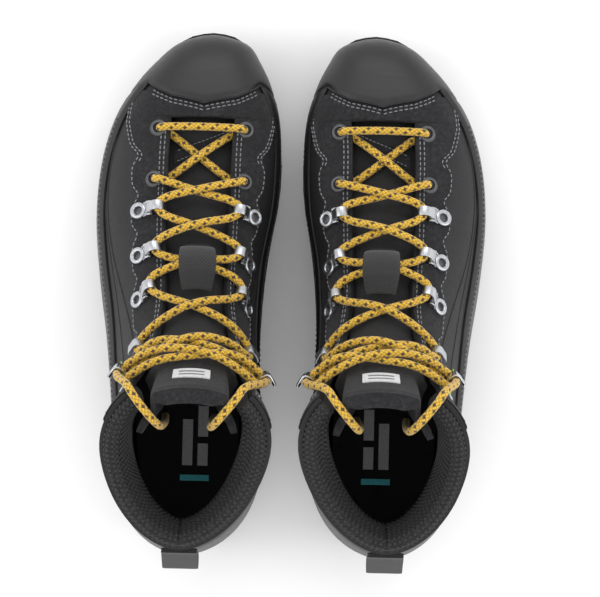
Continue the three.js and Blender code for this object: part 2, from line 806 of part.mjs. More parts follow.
// A hook is a strip bent up over the lace, riveted down on its outer end.
function hook(wraps) {
  const neckIn = laceDiameter / 2 + laceClearance;
  const inside = metalThickness + clearance + 0.3 + wraps * (laceDiameter + clearance) + 0.4;
  const lip = -(laceDiameter / 2 + 1.6);
  const bend = 2.2;
  const base = clearance;
  const shape = outlineShape([
    [-9.5, base],
    [neckIn + metalThickness, base],
    [neckIn + metalThickness, inside - bend],
    [neckIn, inside],
    [neckIn - bend, inside + metalThickness],
    [lip, inside + metalThickness],
    [lip - 1.2, inside + 0.2],
    [lip - 1.2, inside - 1],
    [lip - 0.3, inside],
    [neckIn - bend, inside],
    [neckIn, inside - bend],
    [neckIn, base + metalThickness],
    [-9.5, base + metalThickness],
  ]);
  const head = new THREE.CylinderGeometry(1.6, 2.1, 1, 8).rotateX(Math.PI / 2);
  return join(across(shape, hookWidth), head.translate(-6.6, 0, base + metalThickness + 0.3));
}

// ---- the lace --------------------------------------------------------------------------------------------------

const fixings = {
  eyelet_1: eyelets[0],
  eyelet_2: eyelets[1],
  ...guides,
  ...hooks,
};

// How the lace passes each kind of fixing: inwards, towards the collar, and up, from the fixing's own spot.
const shaftMiddle = -6;
const passes = {
  down: [[6, 0, 2.9], [1.2, 0.1, 2.1], [0.1, 0.2, -3.2], [5, 0.8, -6.6]],
  up: [[5, -1, -6.8], [0.5, -0.4, -3.3], [1, 0.1, 2.9], [6, 1.6, 4.3]],
  loop: [[loopIn + 0.2, -4.6, loopUp + 0.2], [loopIn + 0.2, 4.6, loopUp + 0.2]],
  low: [[-0.3, -5.8, 4.3], [-0.3, 5.8, 4.2]],
  high: [[-0.3, -5.8, 9.1], [-0.3, 5.8, 9.1]],
};

// One half of the lace, from the middle of the lowest bar to the end inside the collar. Side 1 is the side that this
// half starts on. A row is a pass, a fixing and a side; a crossing with its station, 1 where the half that starts on
// the outer side lies on top, and the lower strand's height; a point over the skin, with its station, its distance
// from the ridge and its height; or a free point, with its distance outwards from the middle of the shaft, its y and
// its z.
const laceHalf = [
  ["down", "eyelet_1", 1],
  ["crossing", 6.08, 0, -6],
  ["up", "eyelet_2", -1],
  ["crossing", 7.1, 1, 1],
  ["loop", "guide_1", 1],
  ["crossing", 8.1, 0, 4.4],
  ["loop", "guide_2", -1],
  ["crossing", 9.2, 1, 3.1],
  ["over", 9.3, 19, 3.7],
  ["loop", "guide_3", 1],
  ["crossing", 10.75, 0, 0.6],
  ["over", 11.05, -20, 3.1],
  ["low", "hook_1", -1],
  ["over", 12.05, -20, 3.2],
  ["crossing", 12.5, 1, -0.6],
  ["over", 12.95, 20, 3.2],
  ["low", "hook_2", 1],
  ["over", 13.75, 20, 2.8],
  ["crossing", 13.5, 0, -0.6],
  ["over", 13.25, -20, 7],
  ["high", "hook_2", -1],
  ["free", -32, 99.5, 172],
  ["free", -28, 93, 177],
  ["free", -20, 83, 176],
  ["free", -14, 76, 166],
  ["free", -13, 76, 148],
  ["free", -13, 77, 128],
  ["free", -14, 79, 108],
];

// The points of one half, from the side that it starts on.
function laceEnd(side) {
  const points = [];
  for (const [kind, place, value, height] of laceHalf) {
    if (kind === "crossing") {
      const upper = (value === 1) === side > 0;
      points.push(skin(place, 0.0001 * side, height + (upper ? laceDiameter + 0.4 : 0)));
    } else if (kind === "over") {
      points.push(spot(place, value * side, height));
    } else if (kind === "free") {
      points.push(new THREE.Vector3(shaftMiddle + place * side, value, height));
    } else {
      const { t, s } = fixings[place];
      const from = spot(t, s * value * side);
      const { normal, inwards } = skinFrame(t, shareAt(t, s * value * side));
      const along = alongBoot(normal, inwards, value * side);
      for (const [u, a, w] of passes[kind])
        points.push(
          from.clone().addScaledVector(inwards, u).addScaledVector(along, a).addScaledVector(normal, w),
        );
    }
  }
  return points;
}

// Towards the collar along the skin.
function alongBoot(normal, inwards, side) {
  return new THREE.Vector3().crossVectors(normal, inwards).multiplyScalar(side);
}

function lacePoints() {
  const middle = spot(eyelets[0].t, 0.001, laceDiameter / 2 + 1.4);
  return [...laceEnd(1).reverse(), middle, ...laceEnd(-1)];
}

class LacePath extends THREE.Curve {
  constructor(points) {
    super();
    this.points = points;
  }
  getPoint(u) {
    const at = u * (this.points.length - 1);
    const k = Math.min(Math.floor(at + 1e-6), this.points.length - 2);
    return this.points[k].clone().lerp(this.points[k + 1], at - k);
  }
  getPointAt(u) {
    return this.getPoint(u);
  }
  getTangentAt(u) {
    const k = Math.round(u * (this.points.length - 1));
    const leg = (a, b) => this.points[b].clone().sub(this.points[a]).normalize();
    const before = k > 0 ? leg(k - 1, k) : leg(0, 1);
    const after = k < this.points.length - 1 ? leg(k, k + 1) : before;
    return before.add(after).normalize();
  }
}

const lacePath = new LacePath(lacePoints());

function lace() {
  const sides = 8;
  const section = outlineShape(arc(0, 0, laceDiameter / 2, 0, 2 * Math.PI, sides).slice(0, -1));
  return new THREE.ExtrudeGeometry(section, {
    steps: lacePath.points.length - 1,
    extrudePath: lacePath,
  });
}

// A stiff tip on the lace's end.
function aglet(last, before) {
  const direction = last.clone().sub(before).normalize();
  const tip = new THREE.CylinderGeometry(laceDiameter * 0.36, laceDiameter * 0.36, agletLength, 8);
  tip.applyQuaternion(new THREE.Quaternion().setFromUnitVectors(new THREE.Vector3(0, 1, 0), direction));
  return tip.translate(...last.clone().addScaledVector(direction, agletLength / 2 + clearance).toArray());
}

// The keeper is a webbing band over one crossing, stitched to the tongue at its lower end.
function laceKeeper() {
  const [rows, cols] = [7, 3];
  const stations = [8.5, 8.62, 8.82, 9.2, 9.58, 9.8, 10.05];
  const profile = [0.6, 1, 12, 15.2, 13.4, 10, 5];
  const place = (i, j, inner) => {
    const t = stations[i];
    const s = keeperHalf * (j - 1);
    const height = tongueTop(t, 0) + profile[i] + (inner ? 0 : webbingThickness);
    return spot(t, s, height);
  };
  return shell(
    rows,
    cols,
    (i, j) => place(i, j, false),
    (i, j) => place(i, j, true),
  );
}

// The pull tab is a loop of webbing that hangs from its stitched root at the back of the collar.
const tabStation = 15.1;
const tabLength = 19; // from the root to the middle of the loop's round end
const tabRadius = 4.6;
const tabLean = 22; // degrees out from the heel

function teardrop(rootHalf, radius, from, to, steps) {
  const lean = Math.asin((radius - rootHalf) / (to - from));
  const end = arc(0, -to, radius, lean, -Math.PI - lean, steps);
  return [[rootHalf, -from], ...end, [-rootHalf, -from]];
}

function pullTab() {
  const shape = outlineShape(teardrop(webbingThickness, tabRadius, 0, tabLength, 8));
  const hollow = teardrop(0.3, tabRadius - webbingThickness, 5, tabLength, 8).reverse();
  shape.holes.push(new THREE.Path(hollow.map(([x, y]) => new THREE.Vector2(x, y))));
  const made = new THREE.ExtrudeGeometry(shape, { depth: pullTabWidth, bevelEnabled: false });
  made.translate(0, 0, -pullTabWidth / 2).rotateZ(THREE.MathUtils.degToRad(tabLean));
  const [out, up] = [new THREE.Vector3(0, -1, 0), new THREE.Vector3(0, 0, 1)];
  made.applyMatrix4(new THREE.Matrix4().makeBasis(out, up, out.clone().cross(up)));
  const root = skin(tabStation, 0.9999);
  return made.translate(root.x, root.y - webbingThickness - clearance, root.z);
}

// ---- materials -------------------------------------------------------------------------------------------------

function material(color, roughness, metalness = 0) {
  return new THREE.MeshStandardMaterial({ color, roughness, metalness });
}

const tints = {
  rubber: [0x17181a, 0.45],
  foam: [0x232426, 0.7],
  board: [0xcfc8b8, 0.8],
  footbed: [0x1b1c1f, 0.9],
  suede: [0x35363a, 0.85],
  mesh: [0x141518, 0.9],
  fabric: [0x1c1d20, 0.9],
  webbing: [0x2b2d31, 0.85],
  lace: [0xc79a2c, 0.8],
  aglet: [0x222222, 0.4],
  steel: [0xb9bcc2, 0.3, 1],
};

// ---- assembly --------------------------------------------------------------------------------------------------

function boot(side) {
  const group = new THREE.Group();
  const add = (name, geometry, tint) => {
    const mesh = new THREE.Mesh(geometry, material(...tints[tint]));
    mesh.name = `${side}_${name}`;
    group.add(mesh);
  };
  add("outsole", outsole(), "rubber");
  add("midsole", midsole(), "foam");
  add("insole_board", insoleBoard(), "board");
  add("footbed", footbed(), "footbed");
  add("upper", upperShell(), "suede");
  add("rand", rand(), "rubber");
  add("heel_counter", heelCounter(), "rubber");
  add("collar", collar(), "mesh");
  add("tongue", tongue(), "fabric");
  add("lace_keeper", laceKeeper(), "webbing");
  add("pull_tab", pullTab(), "webbing");
  for (const [place, face] of [
    ["outer", 1],
    ["inner", -1],
  ]) {
    for (const [name, { t, s }] of Object.entries(guides)) {
      add(`${place}_${name}_base`, placed(guideBase(), t, face * s), "steel");
      add(`${place}_${name}_loop`, placed(guideLoop(), t, face * s), "steel");
    }
    for (const [name, { t, s, wraps }] of Object.entries(hooks))
      add(`${place}_${name}`, placed(hook(wraps), t, face * s), "steel");
  }
  add("lace", lace(), "lace");
  const { points } = lacePath;
  add("outer_aglet", aglet(points[0], points[1]), "aglet");
  add("inner_aglet", aglet(points.at(-1), points.at(-2)), "aglet");
  return group;
}

const pair = new THREE.Group();
const [right, left] = [boot("right"), boot("left")];
const ball = outlineTimes.map((t) => outlineRow(t).in);
right.position.x = gapBetween / 2 - Math.min(...ball);
left.position.x = -right.position.x;
left.scale.x = -1;
pair.add(right, left);

// The pair's box is centred over the origin.
const extent = new THREE.Box3().setFromObject(pair);
pair.position.set(0, -(extent.min.y + extent.max.y) / 2, -extent.min.z);

export default pair;
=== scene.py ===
"""A pair of laced mountaineering boots with rubber rands, suede facings, metal guides and padded collars.

Each boot is shaped in its own frame, in millimetres: x outwards, y from heel to toe and z up. A place on its
skin is a station t, from 0 at the toe tip to 17 above the collar, and a share f round the section, from 0 on
the ridge of the instep to 1 under the foot or up the heel. A distance s from the ridge can stand for the share.
Both are positive on the outer side. placed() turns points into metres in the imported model's frame.
"""

import math

import bmesh
import bpy
import numpy as np
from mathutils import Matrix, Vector


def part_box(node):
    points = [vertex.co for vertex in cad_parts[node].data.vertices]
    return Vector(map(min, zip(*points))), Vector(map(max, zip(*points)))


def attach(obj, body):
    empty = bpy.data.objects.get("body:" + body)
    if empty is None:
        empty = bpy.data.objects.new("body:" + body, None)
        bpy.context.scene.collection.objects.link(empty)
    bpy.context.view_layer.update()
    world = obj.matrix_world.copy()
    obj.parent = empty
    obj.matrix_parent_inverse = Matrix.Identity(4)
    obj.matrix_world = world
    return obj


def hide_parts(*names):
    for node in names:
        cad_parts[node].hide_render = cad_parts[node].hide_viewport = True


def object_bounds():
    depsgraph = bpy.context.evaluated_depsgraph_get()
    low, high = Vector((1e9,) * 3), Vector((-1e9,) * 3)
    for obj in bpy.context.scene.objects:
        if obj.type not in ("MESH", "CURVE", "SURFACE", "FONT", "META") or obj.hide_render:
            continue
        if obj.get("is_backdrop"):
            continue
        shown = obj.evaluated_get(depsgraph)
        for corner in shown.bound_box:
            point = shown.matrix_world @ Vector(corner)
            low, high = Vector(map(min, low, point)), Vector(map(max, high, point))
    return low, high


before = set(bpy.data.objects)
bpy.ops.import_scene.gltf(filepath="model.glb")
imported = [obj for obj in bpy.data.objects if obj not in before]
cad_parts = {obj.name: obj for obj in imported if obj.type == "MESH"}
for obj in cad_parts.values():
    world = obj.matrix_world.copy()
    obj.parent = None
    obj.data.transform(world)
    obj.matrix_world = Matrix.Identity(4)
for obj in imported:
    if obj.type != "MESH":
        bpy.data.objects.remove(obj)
cad_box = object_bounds()

bl_info = {
    "name": "Mountaineering Boots",
    "version": (1, 0, 0),
    "blender": (4, 5, 0),
    "location": "View3D > Sidebar > Boots",
    "description": "Builds the looks of a pair of laced mountaineering boots around their packed model",
    "category": "Add Mesh",
}

MM = 0.001
SIDES = ("right", "left")
PLACES = (("outer", 1), ("inner", -1))

# ---- the last -------------------------------------------------------------------------------------

# Ridge y, z, bottom y, z, ridge x, bottom x, half width outwards and inwards, widest level, roundness below
# and above.
SECTIONS = np.array(
    [
        (297.5, 45, 297.5, 45, -12, -12, 0, 0, 0.4, 0.6, 0.8),
        (295.8, 53, 296.3, 37, -12, -12, 9, 9, 0.4, 0.6, 0.8),
        (291.5, 59.5, 292.5, 31, -12, -11.5, 19.5, 19.5, 0.38, 0.55, 0.8),
        (283, 65, 284.5, 27, -11, -10, 28, 26.5, 0.36, 0.5, 0.8),
        (269, 69.5, 271, 24, -9, -7.5, 38, 35.5, 0.33, 0.47, 0.8),
        (251, 74, 250, 21.5, -8, -4, 47.5, 43.5, 0.32, 0.45, 0.82),
        (230, 79.5, 222, 20, -7, -1, 52.5, 47, 0.3, 0.45, 0.84),
        (208, 86, 188, 20.5, -7, 0, 54, 45.5, 0.3, 0.45, 0.86),
        (187, 93.5, 150, 23, -7, 0, 51, 40, 0.3, 0.45, 0.88),
        (168, 101.5, 108, 27, -7.5, -1, 46.5, 37, 0.31, 0.47, 0.9),
        (151, 110.5, 62, 31, -8, -2, 43.5, 37, 0.34, 0.5, 0.92),
        (138, 120, 22, 35.5, -8.5, -3, 42, 38, 0.38, 0.62, 0.93),
        (127, 131, 3.5, 54, -8.5, -3, 41.5, 39, 0.45, 0.85, 0.93),
        (118.5, 144, 1.5, 84, -8.5, -3, 42, 40.5, 0.52, 1, 0.93),
        (112, 156, 6, 112, -8.5, -3, 44, 43, 0.58, 1.08, 0.93),
        (107.5, 167, 8, 135, -8.5, -3, 46, 45.5, 0.6, 1.12, 0.93),
        (104, 178, 5, 153, -8.5, -3, 47, 46.5, 0.6, 1.12, 0.93),
        (101.5, 188.5, 2, 170, -8.5, -3, 47, 46.5, 0.6, 1.12, 0.93),
    ],
    dtype=float,
)
# The sole's outline: y, then its outer and inner edges.
SOLE = np.array(
    [
        (0, -2.5, -2.5),
        (1.2, 5.5, -10.5),
        (5, 14.5, -20),
        (14, 25.5, -32),
        (27, 33.5, -40),
        (45, 38, -43.5),
        (70, 40, -43.5),
        (100, 43, -43),
        (130, 47.5, -43.5),
        (158, 52.5, -45.5),
        (180, 55.3, -48.5),
        (203, 56, -52.5),
        (226, 53.5, -53.8),
        (250, 46.8, -51.3),
        (270, 35.8, -46.7),
        (286, 21.5, -40),
        (296, 9, -31.5),
        (301, -1, -23),
        (302.5, -12, -12),
    ],
    dtype=float,
)


def curve_through(rows, t):
    """Catmull-Rom through the rows, at each t."""
    t = np.asarray(t, dtype=float)
    ends = np.vstack([2 * rows[0] - rows[1], rows, 2 * rows[-1] - rows[-2]])
    i = np.clip(np.floor(t).astype(int), 0, len(rows) - 2)
    u = (t - i)[..., None]
    a, b, c, d = (ends[i + k] for k in range(4))
    return b + 0.5 * u * (c - a + u * (2 * a - 5 * b + 4 * c - d + u * (3 * (b - c) + d - a)))


def smooth(u):
    c = np.clip(u, 0, 1)
    return c * c * (3 - 2 * c)


def mix(a, b, u):
    return a + (b - a) * u


def run_along(line):
    """The distance along a line of points, at each of them."""
    legs = np.linalg.norm(np.diff(line, axis=0), axis=1)
    return np.concatenate([[0], np.cumsum(legs)])


def steps(start, end, count):
    return np.linspace(start, end, count)


class Skin:
    """The outside of the upper as a table of points and normals, read between its entries."""

    step = 0.025
    shares = 96
    angles = 241
    reach = 0.012

    def __init__(self):
        self.times = np.arange(0, len(SECTIONS) - 1 + 1e-9, self.step)
        self.sides = {side: self._table(side) for side in (1, -1)}
        self.normals = {side: self._normals(side) for side in (1, -1)}

    def _table(self, side):
        v = curve_through(SECTIONS, self.times)
        ry, rz, by, bz, rx, bx, out, inn, level, below, above = v.T[..., None]
        width = out if side > 0 else -inn
        angle = np.linspace(0, np.pi, self.angles)[None, :]
        c = np.cos(angle)
        power = np.where(c > 0, above, below)
        rise = np.abs(c) ** power
        up = np.where(c > 0, level + (1 - level) * rise, level * (1 - rise))
        across = np.maximum(np.sin(angle), 0) ** power
        points = np.stack(
            [bx + (rx - bx) * up + width * across, by + (ry - by) * up, bz + (rz - bz) * up], axis=-1
        )
        legs = np.linalg.norm(np.diff(points, axis=1), axis=-1)
        along = np.concatenate([np.zeros((len(points), 1)), np.cumsum(legs, axis=1)], axis=1)
        if side > 0:
            self.girth_out = along[:, -1]
        else:
            self.girth_in = along[:, -1]
        want = np.linspace(0, 1, self.shares + 1)
        table = np.empty((len(points), self.shares + 1, 3))
        for i, (row, length) in enumerate(zip(points, along)):
            for axis in range(3):
                table[i, :, axis] = np.interp(want * length[-1], length, row[:, axis])
        return table

    def _normals(self, side):
        table = self.sides[side]
        other = self.sides[-side]
        wide = np.concatenate([other[:, 1:2], table, other[:, -2:-1]], axis=1)
        round_ = wide[:, 2:] - wide[:, :-2]
        along = np.gradient(table, axis=0)
        normal = np.cross(round_, along) * -side
        length = np.linalg.norm(normal, axis=-1, keepdims=True)
        normal = normal / np.maximum(length, 1e-9)
        core = table.mean(axis=1, keepdims=True)
        flip = np.sum(normal * (table - core), axis=-1, keepdims=True) < 0
        normal = np.where(flip, -normal, normal)
        normal[0] = (0, 1, 0)
        return normal

    def _read(self, tables, t, f):
        t, f = np.broadcast_arrays(np.asarray(t, float), np.asarray(f, float))
        a = np.clip(t / self.step, 0, len(self.times) - 1.000001)
        b = np.clip(np.abs(f), 0, 1) * self.shares
        b = np.minimum(b, self.shares - 1e-6)
        i, j = a.astype(int), b.astype(int)
        u, w = (a - i)[..., None], (b - j)[..., None]
        out, inn = tables[1], tables[-1]

        def pick(table):
            return mix(
                mix(table[i, j], table[i + 1, j], u), mix(table[i, j + 1], table[i + 1, j + 1], u), w
            )

        return np.where((f < 0)[..., None], pick(inn), pick(out))

    def girth(self, t, side):
        table = np.where(np.asarray(side) < 0, np.interp(t, self.times, self.girth_in), 0)
        return table + np.where(np.asarray(side) < 0, 0, np.interp(t, self.times, self.girth_out))

    def share(self, t, s):
        """The share of the half girth at a distance s from the ridge."""
        s = np.asarray(s, float)
        return s / self.girth(t, np.where(s < 0, -1, 1))

    def at(self, t, f, height=0.0):
        normal = self._read(self.normals, t, f)
        normal = normal / np.linalg.norm(normal, axis=-1, keepdims=True)
        return self._read(self.sides, t, f) + normal * np.asarray(height, float)[..., None]

    def spot(self, t, s, height=0.0):
        return self.at(t, self.share(t, s), height)

    def frame(self, t, s):
        """The spot, and the directions inwards, along the boot and out of the skin."""
        f = float(self.share(t, s))
        normal = self._read(self.normals, t, f)
        normal = normal / np.linalg.norm(normal)
        round_ = self._read(self.sides, t, f + self.reach) - self._read(self.sides, t, f - self.reach)
        inwards = round_ * (1 if f < 0 else -1)
        inwards = inwards - normal * np.dot(inwards, normal)
        inwards = inwards / np.linalg.norm(inwards)
        return self.spot(t, s), inwards, np.cross(normal, inwards), normal


skin = Skin()

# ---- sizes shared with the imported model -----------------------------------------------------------

upper_thickness = 2.6
rand_thickness = 2.6
rand_height = 34.0
counter_thickness = 2.4
board_thickness = 2.4
footbed_thickness = 4.5
footbed_cup = 7.0
inset_board = 9.0
clearance = 0.3
pad_clearance = 0.5
collar_pad = 12.0
tongue_thickness = 5.0
tongue_gap = 1.9
tongue_half = 37.0
webbing_thickness = 1.4
keeper_half = 8.0
metal_thickness = 1.1
lace_diameter = 4.5
lace_clearance = 0.6
loop_width = 5.6
pin_radius = 0.9
pin_clearance = 0.3
hook_width = 6.5
tab_width = 20.0
throat_start = 5.05
throat_half = 18.5
collar_half = 36.0
toe_rows = 9
cap_row = 8
rand_row = 19
counter_row = 24
net_rows = 26
shaft_middle = -6.0
feather_height = 1.2

loop_radius = lace_diameter / 2 + lace_clearance
loop_in = 5.2
loop_up = clearance + metal_thickness + loop_radius
pin_up = 3.0
ring_out = 8.2

eyelets = {"eyelet_1": (5.38, 25.5), "eyelet_2": (6.72, 26.5)}
guides = {"guide_1": (7.5, 27.0), "guide_2": (8.6, 28.0), "guide_3": (9.65, 31.0)}
hooks = {"hook_1": (11.5, 37.0, 1), "hook_2": (13.4, 40.5, 2)}

# The boot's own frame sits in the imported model's where the tip of the right upper is.
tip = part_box("right_upper")[1]
middle_out = 6 + 53.8
heel_back = tip[1] / MM - SECTIONS[0][0]


def throat_edge(t):
    return mix(throat_half, collar_half, smooth((np.asarray(t, float) - 9.5) / 4.5))


def upper_end(f):
    return mix(15.75, 15.4, smooth((np.abs(f) - 0.34) / 0.3))


def tongue_top(t, s):
    under = -(upper_thickness + tongue_gap)
    room = lace_diameter + 2 * clearance
    low = under - room * (1 - smooth((t - 6.9) / 0.8))
    wing = collar_pad + 2 * clearance
    return low - wing * smooth((np.abs(s) - 21) / 13) * smooth((t - 12.9) / 1)


def placed(points, side):
    """Points of a boot's own frame, in millimetres, in the model's frame, in metres."""
    p = np.asarray(points, float).reshape(-1, 3) + (middle_out, heel_back, 0)
    return p * ((1 if side == "right" else -1), 1, 1) * MM


# ---- meshes ---------------------------------------------------------------------------------------


def add_mesh(name, points, faces, materials, uv=None, sharp=38, face_material=None):
    """An object from points in metres; uv is one pair for each point."""
    mesh = bpy.data.meshes.new(name)
    mesh.from_pydata([tuple(p) for p in points], [], [tuple(int(k) for k in f) for f in faces])
    if uv is not None:
        layer = mesh.uv_layers.new(name="UVMap")
        loops = np.empty(len(mesh.loops), dtype=int)
        mesh.loops.foreach_get("vertex_index", loops)
        layer.data.foreach_set("uv", np.asarray(uv, float)[loops].ravel())
    for entry in materials if isinstance(materials, (list, tuple)) else [materials]:
        mesh.materials.append(entry)
    if face_material is not None:
        mesh.polygons.foreach_set("material_index", np.asarray(face_material, dtype=np.int32))
    mesh.validate()
    tidy_mesh(mesh, sharp)
    made = bpy.data.objects.new(name, mesh)
    bpy.context.scene.collection.objects.link(made)
    return made


def tidy_mesh(mesh, sharp, weld=1e-6):
    """Welds doubles, turns the faces out and smooths them, but for edges past the sharp angle in degrees."""
    body = bmesh.new()
    body.from_mesh(mesh)
    bmesh.ops.remove_doubles(body, verts=body.verts, dist=weld)
    bmesh.ops.recalc_face_normals(body, faces=body.faces)
    for face in body.faces:
        face.smooth = True
    limit = math.radians(sharp)
    for edge in body.edges:
        if len(edge.link_faces) == 2 and edge.calc_face_angle(0) > limit:
            edge.smooth = False
    body.to_mesh(mesh)
    body.free()


def grid_faces(rows, columns, close_columns=False):
    """Quads over a grid of points, row after row."""
    faces = []
    for i in range(rows - 1):
        for j in range(columns if close_columns else columns - 1):
            k = (j + 1) % columns
            a, b = i * columns, (i + 1) * columns
            faces.append((a + j, a + k, b + k, b + j))
    return faces


def shell_mesh(name, side, top, bottom, materials, uv, present=None, face_material=None, **more):
    """A closed sheet between two grids of points of the boot's frame; present says which quads there are."""
    rows, columns = top.shape[:2]
    here = np.ones((rows - 1, columns - 1), bool) if present is None else present
    points = np.concatenate([top.reshape(-1, 3), bottom.reshape(-1, 3)])
    under = rows * columns
    faces, marks = [], []
    meets = np.linalg.norm(top[:, 0] - top[:, -1], axis=1) < 0.01
    for i in range(rows - 1):
        for j in range(columns - 1):
            if not here[i, j]:
                continue
            a, b = i * columns + j, (i + 1) * columns + j
            quad = (a, a + 1, b + 1, b)
            mark = 0 if face_material is None else face_material[i, j]
            faces.append(quad)
            faces.append(tuple(under + k for k in reversed(quad)))
            marks.extend([mark, mark])
            for di, dj, p, q in ((-1, 0, a, a + 1), (0, 1, a + 1, b + 1), (1, 0, b + 1, b), (0, -1, b, a)):
                m, n = i + di, j + dj
                if n in (-1, columns - 1) and meets[i] and meets[i + 1]:
                    continue
                if not (0 <= m < rows - 1 and 0 <= n < columns - 1 and here[m, n]):
                    faces.append((q, p, under + p, under + q))
                    marks.append(mark)
    used = sorted({k for f in faces for k in f})
    order = {k: n for n, k in enumerate(used)}
    faces = [tuple(order[k] for k in f) for f in faces]
    flat = np.asarray(uv, float).reshape(-1, 2)
    both = np.concatenate([flat, flat])
    return add_mesh(
        name, placed(points[used], side), faces, materials, uv=both[used], face_material=marks, **more
    )


def tube_mesh(name, points, radii, materials, sides=12):
    """A tube along points in metres; its UV is the share of a turn, and the millimetres along."""
    points = np.asarray(points, float)
    tangents = np.gradient(points, axis=0)
    tangents /= np.maximum(np.linalg.norm(tangents, axis=1, keepdims=True), 1e-12)
    up = np.array((0.0, 0.0, 1.0))
    if abs(tangents[0] @ up) > 0.9:
        up = np.array((0.0, 1.0, 0.0))
    normal = np.cross(tangents[0], np.cross(up, tangents[0]))
    normal /= np.linalg.norm(normal)
    run, out, uv = 0.0, [], []
    for k, (p, t) in enumerate(zip(points, tangents)):
        normal = normal - t * (normal @ t)
        normal /= np.linalg.norm(normal)
        other = np.cross(t, normal)
        if k:
            run += np.linalg.norm(p - points[k - 1])
        for j in range(sides + 1):
            turn = 2 * math.pi * j / sides
            out.append(p + (normal * math.cos(turn) + other * math.sin(turn)) * radii[k])
            uv.append((j / sides, run / MM))
    columns = sides + 1
    faces = grid_faces(len(points), columns)
    first, last = len(out), len(out) + 1
    out.extend([points[0], points[-1]])
    uv.extend([(0.5, 0.0), (0.5, run / MM)])
    base = (len(points) - 1) * columns
    for j in range(sides):
        faces.append((first, j + 1, j))
        faces.append((last, base + j, base + j + 1))
    return add_mesh(name, out, faces, materials, uv=uv, sharp=60)


def outline_solid(name, side, outline, holes, width, place, material, bevel):
    """An outline of (a, b) with holes, pulled to a width and rounded; place turns (a, w, b) into a point."""
    body = bmesh.new()
    loops = [outline, *holes]
    edges = []
    for loop in loops:
        verts = [body.verts.new((a, 0, b)) for a, b in loop]
        edges.extend(body.edges.new((verts[k], verts[(k + 1) % len(verts)])) for k in range(len(verts)))
    bmesh.ops.triangle_fill(body, edges=edges, use_beauty=True)
    bmesh.ops.translate(body, verts=body.verts, vec=(0, -width / 2, 0))
    flat = list(body.faces)
    grown = bmesh.ops.extrude_face_region(body, geom=flat)
    moved = [v for v in grown["geom"] if isinstance(v, bmesh.types.BMVert)]
    bmesh.ops.translate(body, verts=moved, vec=(0, width, 0))
    bmesh.ops.recalc_face_normals(body, faces=body.faces)
    rim = [e for e in body.edges if len(e.link_faces) == 2 and e.calc_face_angle(0) > 1.2]
    bmesh.ops.bevel(
        body, geom=rim, offset=bevel, offset_type="OFFSET", segments=2, profile=0.6, affect="EDGES"
    )
    bmesh.ops.triangulate(body, faces=body.faces)
    points = placed([place(*v.co) for v in body.verts], side)
    body.verts.index_update()
    faces = [[v.index for v in f.verts] for f in body.faces]
    body.free()
    return add_mesh(name, points, faces, material, uv=[(0, 0)] * len(points), sharp=32)


def joined(name, pieces):
    """Several objects as one mesh."""
    body = bmesh.new()
    materials = []
    for piece in pieces:
        mesh = piece.data
        offset = []
        for entry in mesh.materials:
            if entry not in materials:
                materials.append(entry)
            offset.append(materials.index(entry))
        start = len(body.faces)
        body.from_mesh(mesh)
        body.faces.ensure_lookup_table()
        for face in body.faces[start:]:
            face.material_index = offset[face.material_index]
        bpy.data.objects.remove(piece)
        bpy.data.meshes.remove(mesh)
    mesh = bpy.data.meshes.new(name)
    body.to_mesh(mesh)
    body.free()
    for entry in materials:
        mesh.materials.append(entry)
    made = bpy.data.objects.new(name, mesh)
    bpy.context.scene.collection.objects.link(made)
    return made


def arc(a, b, radius, start, end, steps):
    angles = np.linspace(start, end, steps + 1)
    return [(a + radius * math.cos(k), b + radius * math.sin(k)) for k in angles]


# ---- scattering with Geometry Nodes ---------------------------------------------------------------


def scatter_tree():
    """Points with directions become copies of a shape, one copy each, realized and given a finish."""
    tree = bpy.data.node_groups.get("Repeat Along Directions")
    if tree:
        return tree
    tree = bpy.data.node_groups.new("Repeat Along Directions", "GeometryNodeTree")
    face = tree.interface
    face.new_socket(name="Geometry", in_out="INPUT", socket_type="NodeSocketGeometry")
    face.new_socket(name="Shape", in_out="INPUT", socket_type="NodeSocketObject")
    face.new_socket(name="Size", in_out="INPUT", socket_type="NodeSocketFloat")
    face.new_socket(name="Finish", in_out="INPUT", socket_type="NodeSocketMaterial")
    face.new_socket(name="Geometry", in_out="OUTPUT", socket_type="NodeSocketGeometry")

    def node(kind, **settings):
        made = tree.nodes.new(kind)
        for key, value in settings.items():
            setattr(made, key, value)
        return made

    start, end = node("NodeGroupInput"), node("NodeGroupOutput")
    to_points = node("GeometryNodeMeshToPoints")
    shape = node("GeometryNodeObjectInfo")
    place = node("GeometryNodeInstanceOnPoints")
    turn = node("FunctionNodeAxesToRotation", primary_axis="X", secondary_axis="Z")
    along = node("GeometryNodeInputNamedAttribute", data_type="FLOAT_VECTOR")
    up = node("GeometryNodeInputNamedAttribute", data_type="FLOAT_VECTOR")
    along.inputs["Name"].default_value = "along"
    up.inputs["Name"].default_value = "up"
    realize = node("GeometryNodeRealizeInstances")
    finish = node("GeometryNodeSetMaterial")
    links = tree.links.new
    links(start.outputs["Geometry"], to_points.inputs["Mesh"])
    links(start.outputs["Shape"], shape.inputs["Object"])
    links(to_points.outputs["Points"], place.inputs["Points"])
    links(shape.outputs["Geometry"], place.inputs["Instance"])
    links(along.outputs["Attribute"], turn.inputs["Primary Axis"])
    links(up.outputs["Attribute"], turn.inputs["Secondary Axis"])
    links(turn.outputs["Rotation"], place.inputs["Rotation"])
    links(start.outputs["Size"], place.inputs["Scale"])
    links(place.outputs["Instances"], realize.inputs["Geometry"])
    links(realize.outputs["Geometry"], finish.inputs["Geometry"])
    links(start.outputs["Finish"], finish.inputs["Material"])
    links(finish.outputs["Geometry"], end.inputs["Geometry"])
    return tree


